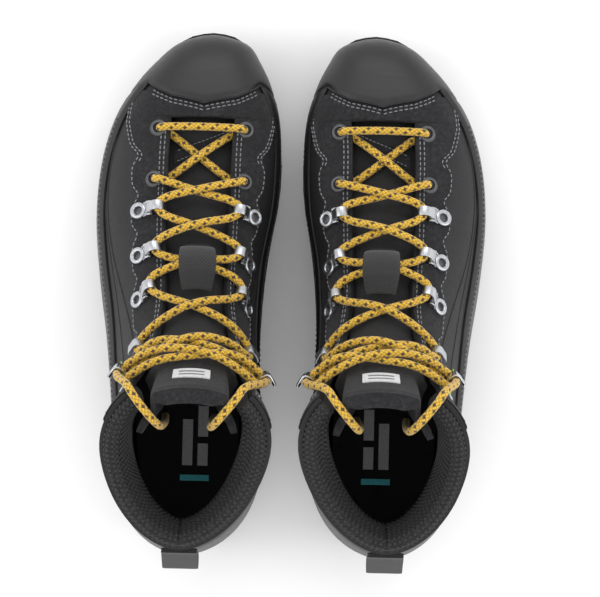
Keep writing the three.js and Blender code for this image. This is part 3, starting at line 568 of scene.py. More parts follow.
def scattered(name, side, rows, build, material):
    """One mesh of copies of a shape at rows of (points, along, up), with its x along and its z up."""
    points, along, up = (np.concatenate(part) for part in zip(*rows))
    turn = np.array(((1 if side == "right" else -1), 1, 1))
    mesh = bpy.data.meshes.new(name + "_points")
    mesh.from_pydata([tuple(p) for p in placed(points, side)], [], [])
    for key, values in (("along", along), ("up", up)):
        layer = mesh.attributes.new(key, "FLOAT_VECTOR", "POINT")
        layer.data.foreach_set("vector", (values * turn).ravel())
    holder = bpy.data.objects.new(name + "_points", mesh)
    bpy.context.scene.collection.objects.link(holder)
    tree = scatter_tree()
    modifier = holder.modifiers.new("Repeat", "NODES")
    modifier.node_group = tree
    shape = template(name + "_shape", build)
    wanted = {"Shape": shape, "Size": 1.0, "Finish": material}
    for item in tree.interface.items_tree:
        if item.in_out == "INPUT" and item.name in wanted:
            modifier[item.identifier] = wanted[item.name]
    graph = bpy.context.evaluated_depsgraph_get()
    made = bpy.data.meshes.new_from_object(holder.evaluated_get(graph), depsgraph=graph)
    made.name = name
    if not made.materials:
        made.materials.append(material)
    bpy.data.objects.remove(holder)
    bpy.data.objects.remove(shape)
    piece = bpy.data.objects.new(name, made)
    bpy.context.scene.collection.objects.link(piece)
    for face in made.polygons:
        face.use_smooth = True
    return piece


def template(name, build):
    """A small shape in metres at the origin, for scattering."""
    body = bmesh.new()
    build(body)
    mesh = bpy.data.meshes.new(name)
    bmesh.ops.recalc_face_normals(body, faces=body.faces)
    body.to_mesh(mesh)
    body.free()
    made = bpy.data.objects.new(name, mesh)
    bpy.context.scene.collection.objects.link(made)
    return made


def stitch_shape(length, radius):
    """A stitch: a thread that rises from the cloth and goes down again, flat underneath."""

    sections = ((-0.5, 0.3, -0.5), (-0.3, 0.9, 0.25), (0.3, 0.9, 0.25), (0.5, 0.3, -0.5))
    sides = 5

    def build(body):
        rings = []
        for a, swell, rise in sections:
            ring = []
            for j in range(sides):
                turn = 2 * math.pi * j / sides
                y, z = math.cos(turn) * radius * swell, math.sin(turn) * radius * swell + rise * radius
                ring.append(body.verts.new((a * length, y, z)))
            rings.append(ring)
        for a, b in zip(rings, rings[1:]):
            for j in range(sides):
                k = (j + 1) % sides
                body.faces.new((a[j], a[k], b[k], b[j]))
        body.faces.new(rings[0])
        body.faces.new(rings[-1])

    return build


def dot_shape(radius, height, sides=7):
    """A low rounded dot that stands on the cloth."""

    def build(body):
        low = [(math.cos(2 * math.pi * j / sides), math.sin(2 * math.pi * j / sides)) for j in range(sides)]
        base = [body.verts.new((x * radius, y * radius, -0.4 * height)) for x, y in low]
        mid = [body.verts.new((x * radius * 0.8, y * radius * 0.8, height * 0.7)) for x, y in low]
        top = body.verts.new((0, 0, height))
        body.faces.new(base)
        for j in range(sides):
            k = (j + 1) % sides
            body.faces.new((base[j], base[k], mid[k], mid[j]))
            body.faces.new((mid[j], mid[k], top))

    return build


def point_on(line, run, places):
    """The points of a line at distances along it."""
    return np.stack([np.interp(places, run, line[:, k]) for k in range(line.shape[1])], axis=1)


def stitch_row(line, step):
    """Places and directions of stitches along a line of points in millimetres."""
    run = run_along(line)
    places = np.arange(step / 2, run[-1] - step / 2 + 1e-6, step)
    half = 0.3
    way = point_on(line, run, places + half) - point_on(line, run, places - half)
    length = np.linalg.norm(way, axis=1, keepdims=True)
    return point_on(line, run, places), way / np.maximum(length, 1e-9)


# ---- materials ------------------------------------------------------------------------------------


class Wire:
    """A socket of a shader tree that takes sums, products and the like with other sockets and numbers."""

    def __init__(self, shop, socket):
        self.shop, self.socket = shop, socket

    def _maths(self, operation, *others):
        return self.shop.node("ShaderNodeMath", {"operation": operation}, *others)

    def __add__(self, other):
        return self._maths("ADD", self, other)

    def __radd__(self, other):
        return self._maths("ADD", other, self)

    def __sub__(self, other):
        return self._maths("SUBTRACT", self, other)

    def __rsub__(self, other):
        return self._maths("SUBTRACT", other, self)

    def __mul__(self, other):
        return self._maths("MULTIPLY", self, other)

    def __rmul__(self, other):
        return self._maths("MULTIPLY", other, self)

    def __truediv__(self, other):
        return self._maths("DIVIDE", self, other)

    def __rtruediv__(self, other):
        return self._maths("DIVIDE", other, self)

    def __gt__(self, other):
        return self._maths("GREATER_THAN", self, other)

    def __lt__(self, other):
        return self._maths("LESS_THAN", self, other)

    def sine(self):
        return self._maths("SINE", self)

    def size(self):
        return self._maths("ABSOLUTE", self)

    def part(self):
        return self._maths("FRACT", self)

    def whole(self):
        return self._maths("FLOOR", self)

    def power(self, other):
        return self._maths("POWER", self, other)



class Finish:
    """One material: a Principled shader with its constants set, and the nodes that feed it."""

    def __init__(self, name, roughness=0.5, metallic=0.0, **constants):
        self.material = bpy.data.materials.new(name)
        self.material.use_nodes = True
        self.tree = self.material.node_tree
        self.shader = self.tree.nodes["Principled BSDF"]
        self.shader.inputs["Roughness"].default_value = roughness
        self.shader.inputs["Metallic"].default_value = metallic
        for key, value in constants.items():
            self.shader.inputs[key.replace("_", " ")].default_value = value

    def node(self, kind, settings=None, *values, out=0, **named):
        made = self.tree.nodes.new(kind)
        for key, value in (settings or {}).items():
            setattr(made, key, value)
        pairs = [(made.inputs[k], v) for k, v in enumerate(values)]
        pairs += [(made.inputs[k.replace("_", " ")], v) for k, v in named.items()]
        for socket, value in pairs:
            if isinstance(value, Wire):
                self.tree.links.new(value.socket, socket)
            elif value is not None:
                socket.default_value = value
        return Wire(self, made.outputs[out])

    def coordinates(self, source="Object", scale=(1.0, 1.0, 1.0)):
        """Object coordinates or the UV map, both in millimetres."""
        at = self.node("ShaderNodeTexCoord", out=source)
        grow = [k * (1000.0 if source == "Object" else 1.0) for k in scale]
        return self.node("ShaderNodeMapping", None, Vector=at, Scale=grow)

    def split(self, at):
        made = self.tree.nodes.new("ShaderNodeSeparateXYZ")
        self.tree.links.new(at.socket, made.inputs[0])
        return [Wire(self, s) for s in made.outputs]

    def noise(self, at, scale, detail=3.0, rough=0.55):
        return self.node("ShaderNodeTexNoise", None, Vector=at, Scale=scale, Detail=detail, Roughness=rough)

    def cells(self, at, scale, feature="F1", spread=1.0):
        settings = {"feature": feature}
        return self.node("ShaderNodeTexVoronoi", settings, Vector=at, Scale=scale, Randomness=spread)

    def between(self, share, low, high):
        """Two colours, mixed by share."""
        made = self.tree.nodes.new("ShaderNodeMix")
        made.data_type = "RGBA"
        for key, value in ((0, share), (6, low), (7, high)):
            if isinstance(value, Wire):
                self.tree.links.new(value.socket, made.inputs[key])
            else:
                made.inputs[key].default_value = value
        return Wire(self, made.outputs[2])

    def ramp(self, value, low, high):
        """From 0 at low to 1 at high."""
        settings = {"interpolation_type": "SMOOTHSTEP"}
        return self.node("ShaderNodeMapRange", settings, value, low, high, 0.0, 1.0)

    def use(self, key, wire):
        self.tree.links.new(wire.socket, self.shader.inputs[key])
        return self

    def bump(self, height, distance, strength=1.0):
        made = self.tree.nodes.new("ShaderNodeBump")
        made.inputs["Distance"].default_value = distance * MM
        made.inputs["Strength"].default_value = strength
        self.tree.links.new(height.socket, made.inputs["Height"])
        self.tree.links.new(made.outputs[0], self.shader.inputs["Normal"])
        return self


def shade(red, green, blue):
    """A colour from its 0 to 255 parts as seen on a screen."""
    parts = [((c / 255 + 0.055) / 1.055) ** 2.4 if c > 10 else c / 255 / 12.92 for c in (red, green, blue)]
    return (*parts, 1.0)


finishes = {}
finish_makers = {}


def finish_maker(make):
    """Lists a function as the maker of the finish that it is named for."""
    finish_makers[make.__name__] = make
    return make


def finish(name):
    """A finish by name, made the first time that it is asked for."""
    if name not in finishes:
        finishes[name] = finish_makers[name](bpy.context.scene.boot_colours)
    return finishes[name]


def darker(colour, share):
    return (colour[0] * share, colour[1] * share, colour[2] * share, 1.0)


@finish_maker
def rand_rubber(colours):
    made = Finish("Rand rubber", 0.4, Specular_IOR_Level=0.5)
    at = made.coordinates()
    streaks = made.noise(made.coordinates(scale=(0.25, 1.2, 1.2)), 0.5, 4)
    grain = made.noise(at, 2.2, 2)
    base = tuple(colours.rubber)
    made.use("Base Color", made.between(made.ramp(streaks, 0.3, 0.75), darker(base, 0.75), darker(base, 1.5)))
    made.use("Roughness", 0.3 + streaks * 0.3)
    return made.bump(grain * 0.6 + streaks * 0.8, 0.12, 0.5).material


@finish_maker
def sole_rubber(colours):
    made = Finish("Sole rubber", 0.62)
    at = made.coordinates()
    scuff = made.noise(at, 0.12, 4)
    grain = made.noise(at, 1.6, 3)
    base = darker(tuple(colours.rubber), 1.3)
    made.use("Base Color", made.between(made.ramp(scuff, 0.45, 0.75), base, darker(base, 1.7)))
    made.use("Roughness", 0.5 + grain * 0.25)
    return made.bump(grain, 0.15, 0.5).material


@finish_maker
def midsole_foam(colours):
    made = Finish("Midsole foam", 0.75)
    at = made.coordinates()
    pores = made.cells(at, 1.1)
    base = tuple(colours.midsole)
    made.use("Base Color", made.between(made.noise(at, 0.3), darker(base, 0.8), darker(base, 1.25)))
    made.use("Roughness", 0.66 + pores * 0.2)
    return made.bump(pores, 0.12, 0.4).material


@finish_maker
def suede(colours):
    made = Finish("Suede", 0.9, Sheen_Weight=0.12, Sheen_Roughness=0.5, Specular_IOR_Level=0.2)
    made.shader.inputs["Sheen Tint"].default_value = (0.7, 0.7, 0.72, 1)
    at = made.coordinates()
    nap = made.noise(at, 1.5, 5, 0.7)
    patches = made.noise(at, 0.09, 3)
    base = tuple(colours.suede)
    tone = made.between(made.ramp(patches, 0.35, 0.65), base, darker(base, 1.9))
    brushed = made.noise(at, 0.45, 6, 0.75)
    tone = made.between(made.ramp(brushed, 0.4, 0.62), darker(base, 0.4), tone)
    made.use("Base Color", made.between(made.ramp(nap, 0.3, 0.75), darker(base, 0.7), tone))
    made.use("Roughness", 0.78 + nap * 0.2)
    return made.bump(nap, 0.28, 0.7).material


@finish_maker
def side_fabric(colours):
    made = Finish("Side fabric", 0.6, Specular_IOR_Level=0.35)
    at = made.coordinates()
    grain = made.cells(at, 1.3)
    cloud = made.noise(at, 0.07, 3)
    base = tuple(colours.side)
    made.use("Base Color", made.between(cloud, darker(base, 0.75), darker(base, 1.35)))
    made.use("Roughness", 0.48 + grain * 0.25)
    return made.bump(grain, 0.14, 0.5).material


def woven(made, at, pitch):
    """The height of a plain weave over UV in millimetres."""
    u, v, _ = made.split(at)
    a, b = u / pitch, v / pitch
    over = ((a.whole() + b.whole()) * 0.5).part() > 0.25
    warp = ((a.part() - 0.5) * math.pi).sine().size()
    weft = ((b.part() - 0.5) * math.pi).sine().size()
    return (1 - warp) * over + (1 - weft) * (1 - over)


@finish_maker
def tongue_fabric(colours):
    made = Finish("Tongue fabric", 0.85, Sheen_Weight=0.08)
    weave = woven(made, made.coordinates("UV"), 0.9)
    cloud = made.noise(made.coordinates(), 0.1, 3)
    base = tuple(colours.tongue)
    tone = made.between(cloud, darker(base, 0.8), darker(base, 1.3))
    # Painted shade: the low threads of the weave are darkened, following the weave's height.
    made.use("Base Color", made.between(weave, darker(base, 0.45), tone))
    made.use("Roughness", 0.74 + weave * 0.15)
    return made.bump(weave, 0.22, 0.8).material


@finish_maker
def collar_mesh(colours):
    made = Finish("Collar mesh", 0.85, Sheen_Weight=0.05)
    cells = made.cells(made.coordinates(), 0.75, "DISTANCE_TO_EDGE", 0.35)
    open_ = made.ramp(cells, 0.05, 0.28)
    base = tuple(colours.collar)
    # Painted shade and light: darker down in the mesh's cells, lighter on the raised edges between them,
    # following the bump's height.
    made.use("Base Color", made.between(open_, darker(base, 1.7), darker(base, 0.6)))
    made.use("Roughness", 0.72 + open_ * 0.2)
    return made.bump(1 - open_, 0.25, 0.8).material


@finish_maker
def collar_dots(colours):
    made = Finish("Collar dots", 0.6, Sheen_Weight=0.05)
    grain = made.noise(made.coordinates(), 2.5, 3)
    base = darker(tuple(colours.collar), 2.0)
    made.use("Base Color", made.between(grain, darker(base, 0.7), darker(base, 1.3)))
    return made.bump(grain, 0.1, 0.5).material


@finish_maker
def webbing(colours):
    made = Finish("Webbing", 0.8, Sheen_Weight=0.2)
    u, v, _ = made.split(made.coordinates("UV"))
    ribs = ((u / 1.3 + (v / 1.1).whole() * 0.5).part() - 0.5).size() * 2
    rows = ((v / 1.1).part() - 0.5).size() * 2
    height = (1 - ribs * ribs) * (1 - rows * rows * 0.7)
    base = tuple(colours.webbing)
    # Painted shade and light: darker in the grooves between ribs and rows, lighter on the raised ribs,
    # following their height.
    made.use("Base Color", made.between(height, darker(base, 0.4), darker(base, 1.3)))
    made.use("Roughness", 0.7 + ribs * 0.15)
    return made.bump(height, 0.3, 0.9).material


@finish_maker
def braid(colours):
    """A lace's braid: slanting strands both ways round it, some of them flecked, and painted shade in its
    grooves.
    """
    made = Finish("Lace braid", 0.75, Sheen_Weight=0.3)
    u, v, _ = made.split(made.coordinates("UV"))
    turns, pitch = 6.0, 2.6
    one = u * turns + v / pitch
    two = u * turns - v / pitch
    over = ((one.whole() + two.whole()) * 0.5).part() > 0.25
    ridge_one = 1 - ((one.part() - 0.5) * 2).power(2.0)
    ridge_two = 1 - ((two.part() - 0.5) * 2).power(2.0)
    height = ridge_one * over + ridge_two * (1 - over)
    fleck = ((one.whole() / 3).part() < 0.2) * over
    wander = made.noise(made.coordinates(), 0.2, 2)
    base = tuple(colours.lace)
    tone = made.between(wander, darker(base, 0.85), darker(base, 1.12))
    # Painted shade: the grooves between the strands are darkened to a third of the lace's colour, following
    # their height.
    tone = made.between(height, darker(base, 0.32), tone)
    made.use("Base Color", made.between(fleck * 0.92, tone, tuple(colours.fleck)))
    made.use("Roughness", 0.68 + height * 0.12)
    return made.bump(height, 0.35, 0.9).material


def metal(name, colour, roughness, grain):
    made = Finish(name, roughness, 1.0)
    at = made.coordinates()
    wear = made.noise(at, 0.8, 4)
    brushed = made.noise(made.coordinates(scale=(4.0, 0.4, 4.0)), 1.2, 2)
    made.use("Base Color", made.between(made.ramp(wear, 0.35, 0.8), darker(colour, 0.8), colour))
    made.use("Roughness", roughness - 0.06 + wear * 0.14)
    return made.bump(brushed, 0.05, grain).material


@finish_maker
def satin_steel(colours):
    return metal("Satin steel", tuple(colours.metal), 0.3, 0.3)


@finish_maker
def bright_steel(colours):
    return metal("Bright steel", darker(tuple(colours.metal), 1.1), 0.17, 0.1)


@finish_maker
def rim_metal(colours):
    return metal("Eyelet rims", darker(tuple(colours.metal), 0.22), 0.4, 0.2)


@finish_maker
def thread(colours):
    made = Finish("Thread", 0.7, Sheen_Weight=0.3)
    twist = made.noise(made.coordinates(), 3.0, 2)
    base = tuple(colours.thread)
    made.use("Base Color", made.between(twist, darker(base, 0.7), darker(base, 1.1)))
    return made.bump(twist, 0.08, 0.5).material


@finish_maker
def dark_thread(colours):
    made = Finish("Dark thread", 0.7)
    twist = made.noise(made.coordinates(), 3.0, 2)
    base = darker(tuple(colours.thread), 0.12)
    made.use("Base Color", made.between(twist, darker(base, 0.6), darker(base, 1.4)))
    return made.bump(twist, 0.08, 0.5).material


def printed(name, colour, roughness):
    made = Finish(name, roughness)
    wear = made.noise(made.coordinates(), 0.9, 4)
    made.use("Base Color", made.between(made.ramp(wear, 0.3, 0.8), colour, darker(colour, 0.75)))
    return made.bump(wear, 0.06, 0.4).material


@finish_maker
def accent(colours):
    return printed("Lime accent", tuple(colours.accent), 0.45)


@finish_maker
def label(colours):
    return printed("Woven label", tuple(colours.label), 0.7)


@finish_maker
def label_mark(colours):
    return printed("Label marks", darker(tuple(colours.label), 0.25), 0.7)


@finish_maker
def footbed_mark(colours):
    return printed("Footbed print", tuple(colours.label), 0.7)


@finish_maker
def footbed_bar(colours):
    return printed("Footbed bar", tuple(colours.bar), 0.6)


@finish_maker
def footbed_cloth(colours):
    made = Finish("Footbed cloth", 0.9, Sheen_Weight=0.25)
    weave = woven(made, made.coordinates("UV"), 1.1)
    base = tuple(colours.footbed)
    # Painted shade: the low threads of the weave are darkened, following the weave's height.
    made.use("Base Color", made.between(weave, darker(base, 0.5), darker(base, 1.2)))
    return made.bump(weave, 0.15, 0.6).material


@finish_maker
def board(colours):
    made = Finish("Insole board", 0.9)
    at = made.coordinates()
    fibre = made.noise(made.coordinates(scale=(3.0, 0.5, 1.0)), 0.8, 4)
    made.use("Base Color", made.between(fibre, shade(120, 104, 80), shade(160, 142, 112)))
    return made.bump(made.noise(at, 1.2), 0.1, 0.5).material


@finish_maker
def lace_tip(colours):
    made = Finish("Lace tips", 0.25, Coat_Weight=0.5)
    crimp = made.noise(made.coordinates(), 0.9, 2)
    made.use("Base Color", made.between(crimp, shade(28, 26, 22), shade(52, 46, 34)))
    return made.bump(crimp, 0.06, 0.4).material


@finish_maker
def floor(colours):
    made = Finish("Pale floor", 0.9, Specular_IOR_Level=0.1)
    soft = made.noise(made.coordinates(), 0.002, 2)
    made.use("Base Color", made.between(soft, (0.93, 0.93, 0.93, 1), (0.96, 0.96, 0.96, 1)))
    return made.material


# ---- settings -------------------------------------------------------------------------------------


def colour_setting(name, description, red, green, blue):
    return bpy.props.FloatVectorProperty(
        name=name, description=description, default=shade(red, green, blue), size=4, subtype="COLOR",
        min=0, max=1,
    )


def length_setting(name, description, millimetres):
    return bpy.props.FloatProperty(
        name=name, description=description, default=millimetres * MM, subtype="DISTANCE", unit="LENGTH",
        min=0,
    )


class BootColours(bpy.types.PropertyGroup):
    rubber: colour_setting("Rubber", "Rand, toe cap and sole", 17, 17, 18)
    midsole: colour_setting("Midsole", "Foam wedge over the sole", 30, 30, 32)
    suede: colour_setting("Suede", "Facings, vamp and tongue top", 42, 42, 44)
    side: colour_setting("Sides", "Smooth side panels", 30, 30, 32)
    tongue: colour_setting("Tongue", "Woven tongue cloth", 26, 26, 28)
    collar: colour_setting("Collar", "Padded mesh collar", 17, 17, 19)
    webbing: colour_setting("Webbing", "Lace keeper and pull tab", 38, 38, 40)
    lace: colour_setting("Lace", "Golden strands of the lace", 222, 176, 46)
    fleck: colour_setting("Flecks", "Dark strands of the lace", 26, 22, 16)
    metal: colour_setting("Metal", "Lace guides and hooks", 196, 198, 202)
    thread: colour_setting("Thread", "Stitches", 122, 123, 127)
    accent: colour_setting("Accent", "Thin lines at the ankle", 150, 190, 40)
    label: colour_setting("Label", "Woven label on the tongue", 205, 206, 208)
    bar: colour_setting("Bar", "Stripe across the footbed's heel", 90, 225, 235)
    footbed: colour_setting("Footbed", "Cloth of the footbed", 30, 30, 33)


class BootSizes(bpy.types.PropertyGroup):
    stitch: length_setting("Stitch", "Length of a stitch", 2.3)
    stitch_pitch: length_setting("Stitch pitch", "From one stitch to the next", 3.1)
    dot: length_setting("Collar dot", "Radius of a dot on the collar's mesh", 1.05)
    dot_pitch: length_setting("Dot pitch", "From one collar dot to the next", 3.0)


def millimetres(key):
    return getattr(bpy.context.scene.boot_sizes, key) / MM


# ---- the lace's route -----------------------------------------------------------------------------

fixings = {**eyelets, **guides, **{k: v[:2] for k, v in hooks.items()}}
passes = {
    "down": ((6, 0, 2.9), (1.2, 0.1, 2.1), (0.1, 0.2, -3.2), (5, 0.8, -6.6)),
    "up": ((5, -1, -6.8), (0.5, -0.4, -3.3), (1, 0.1, 2.9), (6, 1.6, 4.3)),
    "loop": ((loop_in + 0.2, -4.6, loop_up + 0.2), (loop_in + 0.2, 4.6, loop_up + 0.2)),
    "low": ((-0.3, -5.8, 4.3), (-0.3, 5.8, 4.2)),
    "high": ((-0.3, -5.8, 9.1), (-0.3, 5.8, 9.1)),
}
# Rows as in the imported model: a pass, a fixing and a side; a crossing; a point over the skin; a free point.
lace_half = (
    ("down", "eyelet_1", 1),
    ("crossing", 6.08, 0, -6),
    ("up", "eyelet_2", -1),
    ("crossing", 7.1, 1, 1),
    ("loop", "guide_1", 1),
    ("crossing", 8.1, 0, 4.4),
    ("loop", "guide_2", -1),
    ("crossing", 9.2, 1, 3.1),
    ("over", 9.3, 19, 3.7),
    ("loop", "guide_3", 1),
    ("crossing", 10.75, 0, 0.6),
    ("over", 11.05, -20, 3.1),
    ("low", "hook_1", -1),
    ("over", 12.05, -20, 3.2),
    ("crossing", 12.5, 1, -0.6),
    ("over", 12.95, 20, 3.2),
    ("low", "hook_2", 1),
    ("over", 13.75, 20, 2.8),
    ("crossing", 13.5, 0, -0.6),
    ("over", 13.25, -20, 7),
    ("high", "hook_2", -1),
    ("free", -32, 99.5, 172),
    ("free", -28, 93, 177),
    ("free", -20, 83, 176),
    ("free", -14, 76, 166),
    ("free", -13, 76, 148),
    ("free", -13, 77, 128),
    ("free", -14, 79, 108),
)


def lace_end(way):
    points = []
    for kind, place, value, *height in lace_half:
        if kind == "crossing":
            upper = (value == 1) == (way > 0)
            points.append(skin.at(place, 0.0001 * way, height[0] + (lace_diameter + 0.4 if upper else 0)))
        elif kind == "over":
            points.append(skin.spot(place, value * way, height[0]))
        elif kind == "free":
            points.append(np.array((shaft_middle + place * way, value, height[0]), float))
        else:
            t, s = fixings[place]
            at, inwards, along, normal = skin.frame(t, s * value * way)
            along = along * value * way
            points.extend(at + inwards * u + along * a + normal * w for u, a, w in passes[kind])
    return [np.asarray(p, float).reshape(3) for p in points]


def lace_route():
    middle = skin.spot(eyelets["eyelet_1"][0], 0.001, lace_diameter / 2 + 1.4).reshape(3)
    return np.array([*lace_end(1)[::-1], middle, *lace_end(-1)])


def rounded_route(points):
    """Points each millimetre along a route whose corners are rounded a little, and its length."""
    for _ in range(3):
        cut = [points[0]]
        for a, b in zip(points, points[1:]):
            cut.extend([mix(a, b, 0.25), mix(a, b, 0.75)])
        cut.append(points[-1])
        points = np.array(cut)
    run = run_along(points)
    return point_on(points, run, steps(0, run[-1], int(run[-1]))), run[-1]


# A tip's distances from its lace, and its shares of its full radius.
tip_profile = ((0, 0.6), (0.3, 1), (1, 1.02), (1.4, 0.86), (2.2, 0.98), (16, 0.9), (17.4, 0.75), (18, 0.45))


def make_laces():
    for side in SIDES:
        route, length = rounded_route(lace_route())
        points = placed(route, side)
        radius = lace_diameter / 2 * MM
        radii = np.full(len(points), radius)
        lace = tube_mesh(side + "_lace_braid", points, radii, finish("braid"), sides=14)
        for name, end, before in (("outer", 0, 3), ("inner", -1, -4)):
            way = points[end] - points[before]
            way /= np.linalg.norm(way)
            start = points[end] + way * clearance * MM
            reach = [start + way * m * MM for m, _ in tip_profile]
            sizes = [radius * 0.72 * r for _, r in tip_profile]
            tip_piece = tube_mesh(f"{side}_{name}_lace_tip", reach, sizes, finish("lace_tip"), sides=12)
            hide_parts(f"{side}_{name}_aglet")
            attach(tip_piece, "boots")
        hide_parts(side + "_lace")
        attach(lace, "boots")
        tuple(points[0])
        [tuple(p) for p in points[::4]]


# ---- the upper ------------------------------------------------------------------------------------


def height_shares(side, height):
    """For each station of the skin's table, the share at which the section is that high above its bottom."""
    table = skin.sides[side]
    found = []
    for row, up in zip(table, np.broadcast_to(height, len(table))):
        z = row[:, 2] - row[-1, 2]
        k = int(np.argmax(z < up)) if (z < up).any() else skin.shares
        if k == 0:
            found.append(0.0)
        else:
            found.append((k - 1 + (z[k - 1] - up) / max(z[k - 1] - z[k], 1e-9)) / skin.shares)
    return np.array(found)


def column_table(side):
    """The shares of the net's nine columns, from the ridge to the bottom, at each station of the table."""
    t = skin.times
    heel = smooth((t - 9.6) / 1.4)
    girth = skin.girth(t, side)
    edge = mix(0.2, throat_edge(t) / np.maximum(girth, 1), smooth(t / 4))
    feather = mix(height_shares(side, feather_height), 0.93, heel)
    tall = np.minimum(rand_height, skin.sides[side][:, 0, 2] - skin.sides[side][:, -1, 2])
    top = mix(np.maximum(height_shares(side, tall), edge + 0.15), 0.55, smooth((t - 9.4) / 1.6))
    line = np.minimum(top, feather - 0.15)
    columns = [t * 0, edge, mix(edge, line, 0.33), mix(edge, line, 0.66), line]
    columns += [mix(line, feather, 0.33), mix(line, feather, 0.67), feather, t * 0 + 1]
    soft = np.array([0.25, 0.5, 0.25])
    eased = []
    for c in columns:
        for _ in range(6):
            c = np.convolve(np.pad(c, 1, mode="edge"), soft, mode="valid")
        eased.append(c)
    return np.array(eased)


columns_of = {side: column_table(side) for side in (1, -1)}


def column_share(t, j):
    """The share of a column at a station; columns run 0 to 16 from the ridge round by the outer side."""
    t, j = np.broadcast_arrays(np.asarray(t, float), np.asarray(j, float))
    outer = j <= 8
    k = np.where(outer, j, 16 - j)
    low = np.clip(np.floor(k).astype(int), 0, 7)
    at = np.clip(t / skin.step, 0, len(skin.times) - 1.001)
    i = at.astype(int)
    u, w = at - i, k - low
    value = np.zeros(t.shape)
    for side, mask in ((1, outer), (-1, ~outer)):
        table = columns_of[side]
        a = mix(table[low, i], table[low, i + 1], u)
        b = mix(table[low + 1, i], table[low + 1, i + 1], u)
        value = np.where(mask, side * mix(a, b, w), value)
    return value


def net_times(i, j):
    i, j = np.broadcast_arrays(np.asarray(i, float), np.asarray(j, float))
    row = (i - toe_rows) / (net_rows - toe_rows)
    end = upper_end(column_share(mix(throat_start, 15, np.clip(row, 0, 1)), j))
    return np.where(i <= toe_rows, throat_start * i / toe_rows, mix(throat_start, end, row))


def net(i, j, height):
    t = net_times(i, j)
    f = column_share(t, j)
    near_tip = 0.06
    made = skin.at(np.maximum(t, near_tip), f, height)
    ahead = np.asarray(height, float)[..., None] * (0.0, 1.0, 0.0)
    tip_point = skin.at(np.zeros_like(t), f, 0.0) + ahead
    return np.where((t < near_tip)[..., None], tip_point, made)


ridge_run = run_along(skin.at(skin.times, np.full(len(skin.times), 0.3), 0.0))


def net_uv(i, j):
    t = net_times(i, j)
    f = column_share(t, j)
    around = f * skin.girth(t, np.where(f < 0, -1, 1))
    return np.stack([around, np.interp(t, skin.times, ridge_run)], axis=-1)


def net_shell(name, side, rows, columns, outer, inner, material, hide=None, warp=None):
    """A closed sheet over part of the net; hide says which quads are left out, by their middles."""
    i, j = np.meshgrid(rows, columns, indexing="ij")
    seen = i if warp is None else warp(i, j)
    top = net(seen, j, np.broadcast_to(outer(i, j) if callable(outer) else outer, i.shape))
    bottom = net(seen, j, np.broadcast_to(inner(i, j) if callable(inner) else inner, i.shape))
    mid_i, mid_j = (i[:-1, :-1] + i[1:, 1:]) / 2, (j[:-1, :-1] + j[1:, 1:]) / 2
    present = None if hide is None else ~hide(mid_i, mid_j)
    return shell_mesh(name, side, top, bottom, material, net_uv(seen, j), present)


def column_steps(parts, first=0, last=16):
    columns = [np.linspace(k, k + 1, parts, endpoint=False) for k in range(first, last)]
    return np.concatenate([*columns, [last]])


def settle(piece, side, slot, *nodes, body="boots"):
    """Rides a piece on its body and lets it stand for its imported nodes."""
    if nodes:
        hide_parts(*[f"{side}_{node}" for node in nodes])
    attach(piece, body)
    return piece


def make_upper(side):
    made = net_shell(
        side + "_upper_shell", side, steps(0, net_rows, 131), column_steps(6), 0.0, -upper_thickness,
        finish("side_fabric"), hide=lambda i, j: (i > toe_rows) & ((j < 1) | (j > 15)),
    )
    settle(made, side, "suede", "upper")


def facing_edge(t):
    """How far a suede facing reaches from the ridge, with a scallop between each two fixings."""
    stations = (2.5, 4.2, 5.2, 6, 7, 8.6, 9.6, 11, 13.4, 15.8)
    base = np.interp(t, stations, (44, 52, 50, 43, 42, 43, 47, 52, 56, 58))
    dips = sum(np.exp(-(((t - c) / 0.2) ** 2)) for c in (6.1, 7.1, 8.05, 9.12, 10.5, 12.4))
    return base - 4.2 * dips


def make_facings(side):
    """The suede vamp and the two facings, one sheet that parts at the throat."""
    for half, way in PLACES:
        t, u = np.meshgrid(steps(4.25, 15.6, 220), steps(0, 1, 28), indexing="ij")
        inner_edge = np.where(t < throat_start, 0.0, throat_edge(t) + 0.02)
        outer_edge = facing_edge(t)
        s = way * (inner_edge + (outer_edge - inner_edge) * u)
        t_end = np.minimum(t, upper_end(skin.share(t, s)) - 0.02)
        rim = smooth(np.minimum(u, 1 - u) * (outer_edge - inner_edge) / 1.2)
        high = 0.35 + 0.6 * rim
        top, bottom = skin.spot(t_end, s, high), skin.spot(t_end, s, -0.2)
        uv = np.stack([s, np.interp(t_end, skin.times, ridge_run)], axis=-1)
        made = shell_mesh(f"{side}_{half}_facing", side, top, bottom, finish("suede"), uv)
        settle(made, side, "suede")


def make_throat_strip(side):
    """The stitched suede strip that crosses the tongue's root under the first crossing of the lace."""
    middle, slant, half = 5.75, 0.3, 17
    u, w = np.meshgrid(steps(-1, 1, 30), steps(-1, 1, 9), indexing="ij")
    t = middle + slant * u + 0.2 * w
    s = half * u
    base = tongue_top(t, s)
    rim = 1 - np.abs(w) ** 4
    high = skin.spot(t, s, base + 0.5 + 0.5 * rim)
    low = skin.spot(t, s, base - 0.4)
    uv = np.stack([s, t * 20], axis=-1)
    made = shell_mesh(side + "_throat_strip", side, high, low, finish("suede"), uv)
    settle(made, side, "suede")
    lines = []
    for offset in (-0.14, 0.14):
        across = steps(-1, 1, 60)
        t, s = middle + slant * across + offset, half * across
        lines.append(line_over(t, s, tongue_top(t, s) + 0.95))
    stitch_lines(side, "strip_stitches", lines, "thread", 0.8)


def cap_notch(k):
    """How many rows the toe cap's edge moves at a column, which gives it a point at the ridge."""
    return 0.35 - 1.15 * np.clip(k / 3.6, 0, 1) ** 0.8


def thinned(edge, thickness, near):
    """The height of a rubber piece over the skin, thinner within 0.6 of its edge."""
    return clearance + edge + (thickness - edge) * np.clip(near / 0.6, 0, 1) ** 0.5


